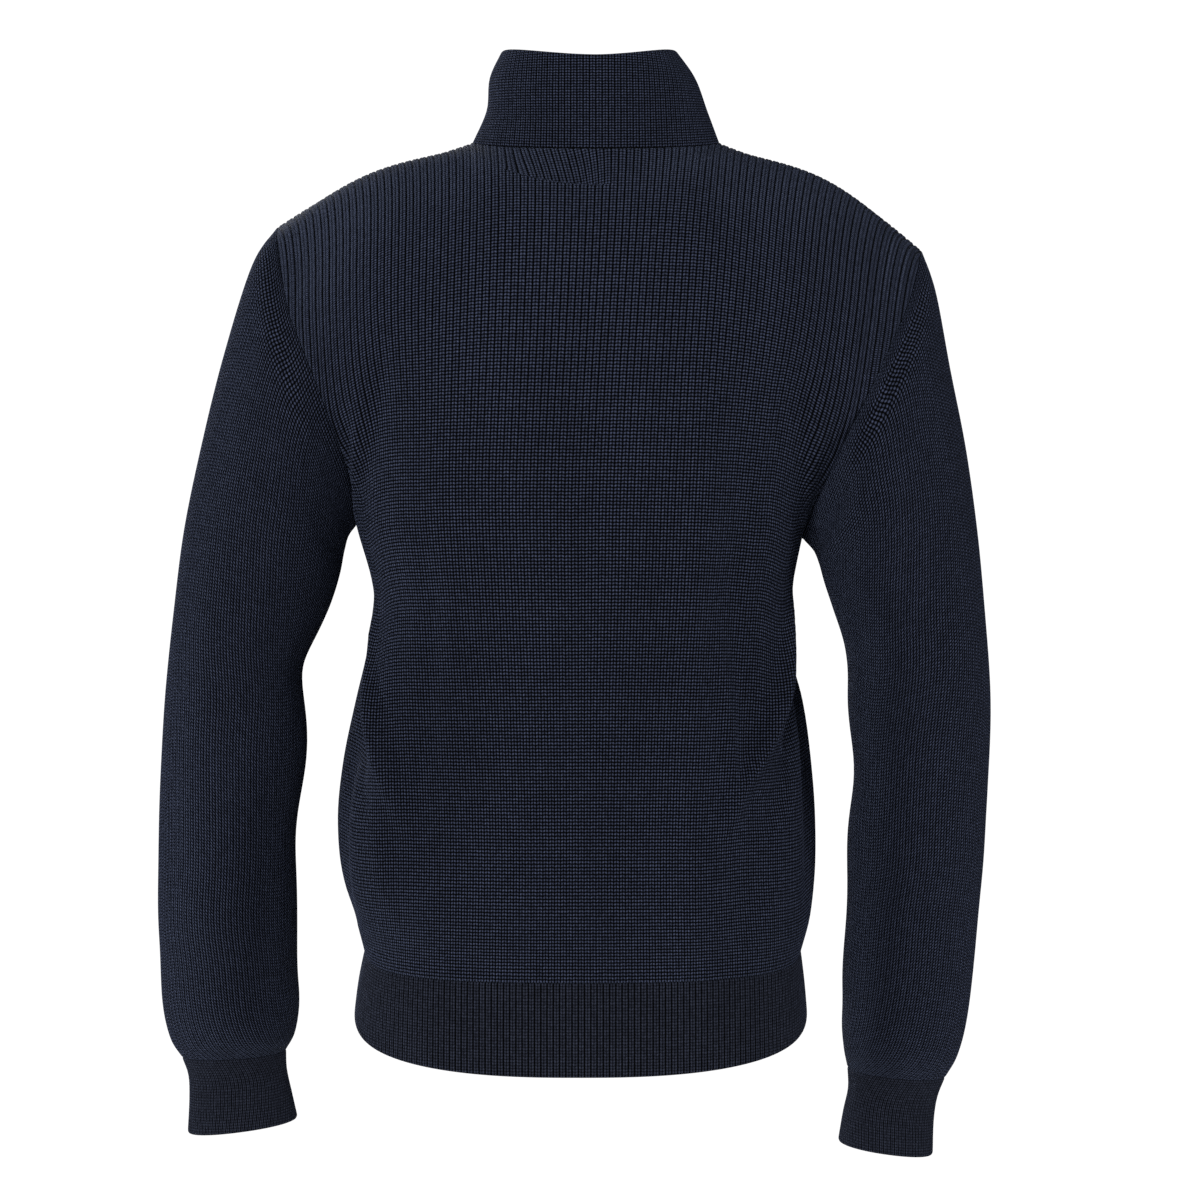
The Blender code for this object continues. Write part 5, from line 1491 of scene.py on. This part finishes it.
def rounded(corners, radius, steps=5):
    """A polygon with its corners rounded off."""
    line = []
    corners = [np.array(corner, float) for corner in corners]
    for before, here, after in zip(corners[-1:] + corners[:-1], corners, corners[1:] + corners[:1]):
        one, two = unit(before - here), unit(after - here)
        half = math.acos(np.clip(one @ two, -1, 1)) / 2
        reach = min(radius / math.tan(half), np.linalg.norm(before - here) / 2.01,
                    np.linalg.norm(after - here) / 2.01)
        for t in np.linspace(0, 1, steps):
            line.append((1 - t) ** 2 * (here + one * reach) + 2 * t * (1 - t) * here
                        + t**2 * (here + two * reach))
    return [tuple(point) for point in line]


def make_slider(frame_here, material):
    """The slider: two tapered plates with side walls, a post between them and a bridge."""
    body = rounded(SLIDER_BODY, ROUND["body"])
    parts = [plate(frame_here, [body], side * SLIDER_OUT, *PLATE) for side in (1, -1)]
    post = rounded(SLIDER_POST, ROUND["post"])
    parts.append(plate(frame_here, [post], 0.0, *POST_PLATE))
    for sign in (-1, 1):
        wall = rounded([(sign * x, y) for x, y in SLIDER_WALL], ROUND["wall"])
        for side in (1, -1):
            parts.append(plate(frame_here, [wall], side * WALL_OUT, *WALL_PLATE))
    origin, across, down, out = frame_here
    bridge = rounded(SLIDER_BRIDGE, ROUND["bridge"])
    parts.append(plate((origin, out, down, across), [bridge], 0.0, *BRIDGE_PLATE))
    return joined("metal_slider", parts, material)


def make_tab(frame_here, material):
    """The pull tab: a loop through the bridge, and a long plate with a rounded end."""
    outline = rounded(TAB_OUTLINE, ROUND["tab"])
    loop = rounded(TAB_LOOP, ROUND["loop"])[::-1]
    hole = [(TAB_HOLE * math.cos(t), TAB_HOLE_DOWN + TAB_HOLE * math.sin(t))
            for t in np.linspace(0, 2 * math.pi, HOLE_CORNERS, endpoint=False)]
    parts = [plate(frame_here, [outline, loop, hole], TAB_OUT, *PLATE)]
    return joined("metal_pull_tab", parts, material)


def make_stop(line, material):
    """The bottom stop, a small clamp over both tapes' ends."""
    low, high = STOP_ALONG
    corners = [(-STOP_HALF, low), (STOP_HALF, low), (STOP_HALF, high), (-STOP_HALF, high)]
    outline = rounded(corners, ROUND["stop"])
    parts = [plate(line.frame_at(0.0), [outline], 0.0, *STOP_PLATE)]
    return joined("metal_stop", parts, material)


# ---------------------------------------------------------------- stage, light and camera


def make_stage():
    """A plain pale floor, well below the sweater."""
    mesh = bpy.data.meshes.new("floor")
    corners = [(x * FLOOR_REACH, y * FLOOR_REACH, FLOOR_LEVEL)
               for x, y in ((-1, -1), (1, -1), (1, 1), (-1, 1))]
    mesh.from_pydata(corners, [], [(0, 1, 2, 3)])
    pale = Nodes("pale_floor").finish(Base_Color=FLOOR_COLOUR, Roughness=0.9)
    mesh.materials.append(pale)
    floor = in_scene("floor", mesh)


def aim(item, place, target):
    item.location = place
    way = Vector(target) - Vector(place)
    item.rotation_euler = way.to_track_quat("-Z", "Y").to_euler()


def make_lights():
    """A white room, and soft boxes round the sweater."""
    world = bpy.data.worlds.new("white_room")
    world.use_nodes = True
    tree = world.node_tree
    lit, seen = tree.nodes["Background"], tree.nodes.new("ShaderNodeBackground")
    for background, colour, strength in ((lit, ROOM_COLOUR, ROOM_LIGHT),
                                         (seen, (1.0, 1.0, 1.0, 1.0), ROOM_SEEN)):
        background.inputs["Color"].default_value = colour
        background.inputs["Strength"].default_value = strength
    path = tree.nodes.new("ShaderNodeLightPath")
    mix = tree.nodes.new("ShaderNodeMixShader")
    tree.links.new(path.outputs["Is Camera Ray"], mix.inputs["Fac"])
    tree.links.new(lit.outputs[0], mix.inputs[1])
    tree.links.new(seen.outputs[0], mix.inputs[2])
    tree.links.new(mix.outputs[0], tree.nodes["World Output"].inputs["Surface"])
    bpy.context.scene.world = world
    for name, place, size, power in LIGHTS:
        lamp = bpy.data.lights.new(name, "AREA")
        lamp.shape = "RECTANGLE"
        lamp.size, lamp.size_y = size
        lamp.energy = power
        aim(in_scene(name, lamp), place, LIGHT_TARGET)


def make_camera():
    lens = bpy.data.cameras.new("camera")
    lens.lens, lens.sensor_width = 100.0, 36.0
    camera = in_scene("camera", lens)
    aim(camera, CAMERA_PLACE, CAMERA_TARGET)
    bpy.context.scene.camera = camera


# ---------------------------------------------------------------- the whole scene


def settle(piece, nodes, body="sweater"):
    """Puts a finished piece in the place of its solids."""
    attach(piece, body)
    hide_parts(*nodes)


def make_cloths():
    """Every knitted piece, settled and with its cut; gives the front's and collar's surfaces."""
    knits = {look: knit_material(*values) for look, values in KNIT_LOOKS.items()}
    panels = {name: panel_surface(name, panel_levels(name)) for name in ("back", "front")}
    pieces = {
        "back_panel": make_cloth("back_panel", panels["back"], knits["body"], PANEL_EDGES,
                                 openness=opened(PANEL_OPENNESS, panels["back"].levels)),
        "front_panel": make_front(panels["front"], knits["body"]),
    }
    collar = collar_surface(edge_levels("collar", 1, FOLD_ROLL))
    pieces["collar"] = make_cloth("collar", collar, knits["collar"], COLLAR_EDGES,
                                  course=COLLAR_COURSE, openness=COLLAR_OPENNESS,
                                  tongue=COLLAR_TONGUE)
    for name in ("back", "front"):
        surface = hem_surface(name, edge_levels("hem", 1, FOLD_ROLL))
        pieces[f"hem_{name}"] = make_cloth(f"hem_{name}", surface, knits["hem"], BAND_EDGES,
                                           course=BAND_COURSE, tongue=BAND_TONGUE)
    for side in ("left", "right"):
        levels = edge_levels("sleeve", len(SLEEVE_LEFT["outer_x"]) - 1)
        pieces[f"sleeve_{side}"] = make_cloth(
            f"sleeve_{side}", sleeve_surface(side, levels, panels), knits["body"], ALL_SEAMS,
            openness=opened(SLEEVE_OPENNESS, levels))
        surface = cuff_surface(side, edge_levels("cuff", len(CUFF_LEFT["outer_x"]) - 1, FOLD_ROLL))
        pieces[f"cuff_{side}"] = make_cloth(
            f"cuff_{side}", surface, knits["cuff"], BAND_EDGES, course=BAND_COURSE,
            relief=CUFF_RELIEF, tongue=BAND_TONGUE)
    for node, piece in pieces.items():
        halves = [f"upper_{node}", f"lower_{node}"] if node.startswith("sleeve") else [node]
        settle(piece, halves)
    return panels["front"], collar


def make_zip(line):
    tape, teeth, metal = tape_material(), teeth_material(), metal_material()
    for side in ("left", "right"):
        settle(make_tape(side, line, tape), [f"zip_tape_{side}"])
    settle(make_teeth(line, teeth), ["zip_chain"])
    stitching = make_stitching(line, tape)
    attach(stitching, "sweater")
    settle(make_stop(line, metal), ["zip_bottom_stop"])
    middle, across, ahead, out = line.frame_at(line.length[-1])
    at_top = (middle, across, -ahead, out)
    settle(make_slider(at_top, metal), ["zip_slider"])
    settle(make_tab(at_top, metal), ["zip_pull_tab"], body="zip_pull")


def main():
    make_zip(ZipLine(*make_cloths()))
    make_stage()
    make_lights()
    make_camera()
    bpy.context.scene.view_settings.view_transform = "Standard"
    bpy.context.scene.cycles.use_denoising = False


main()
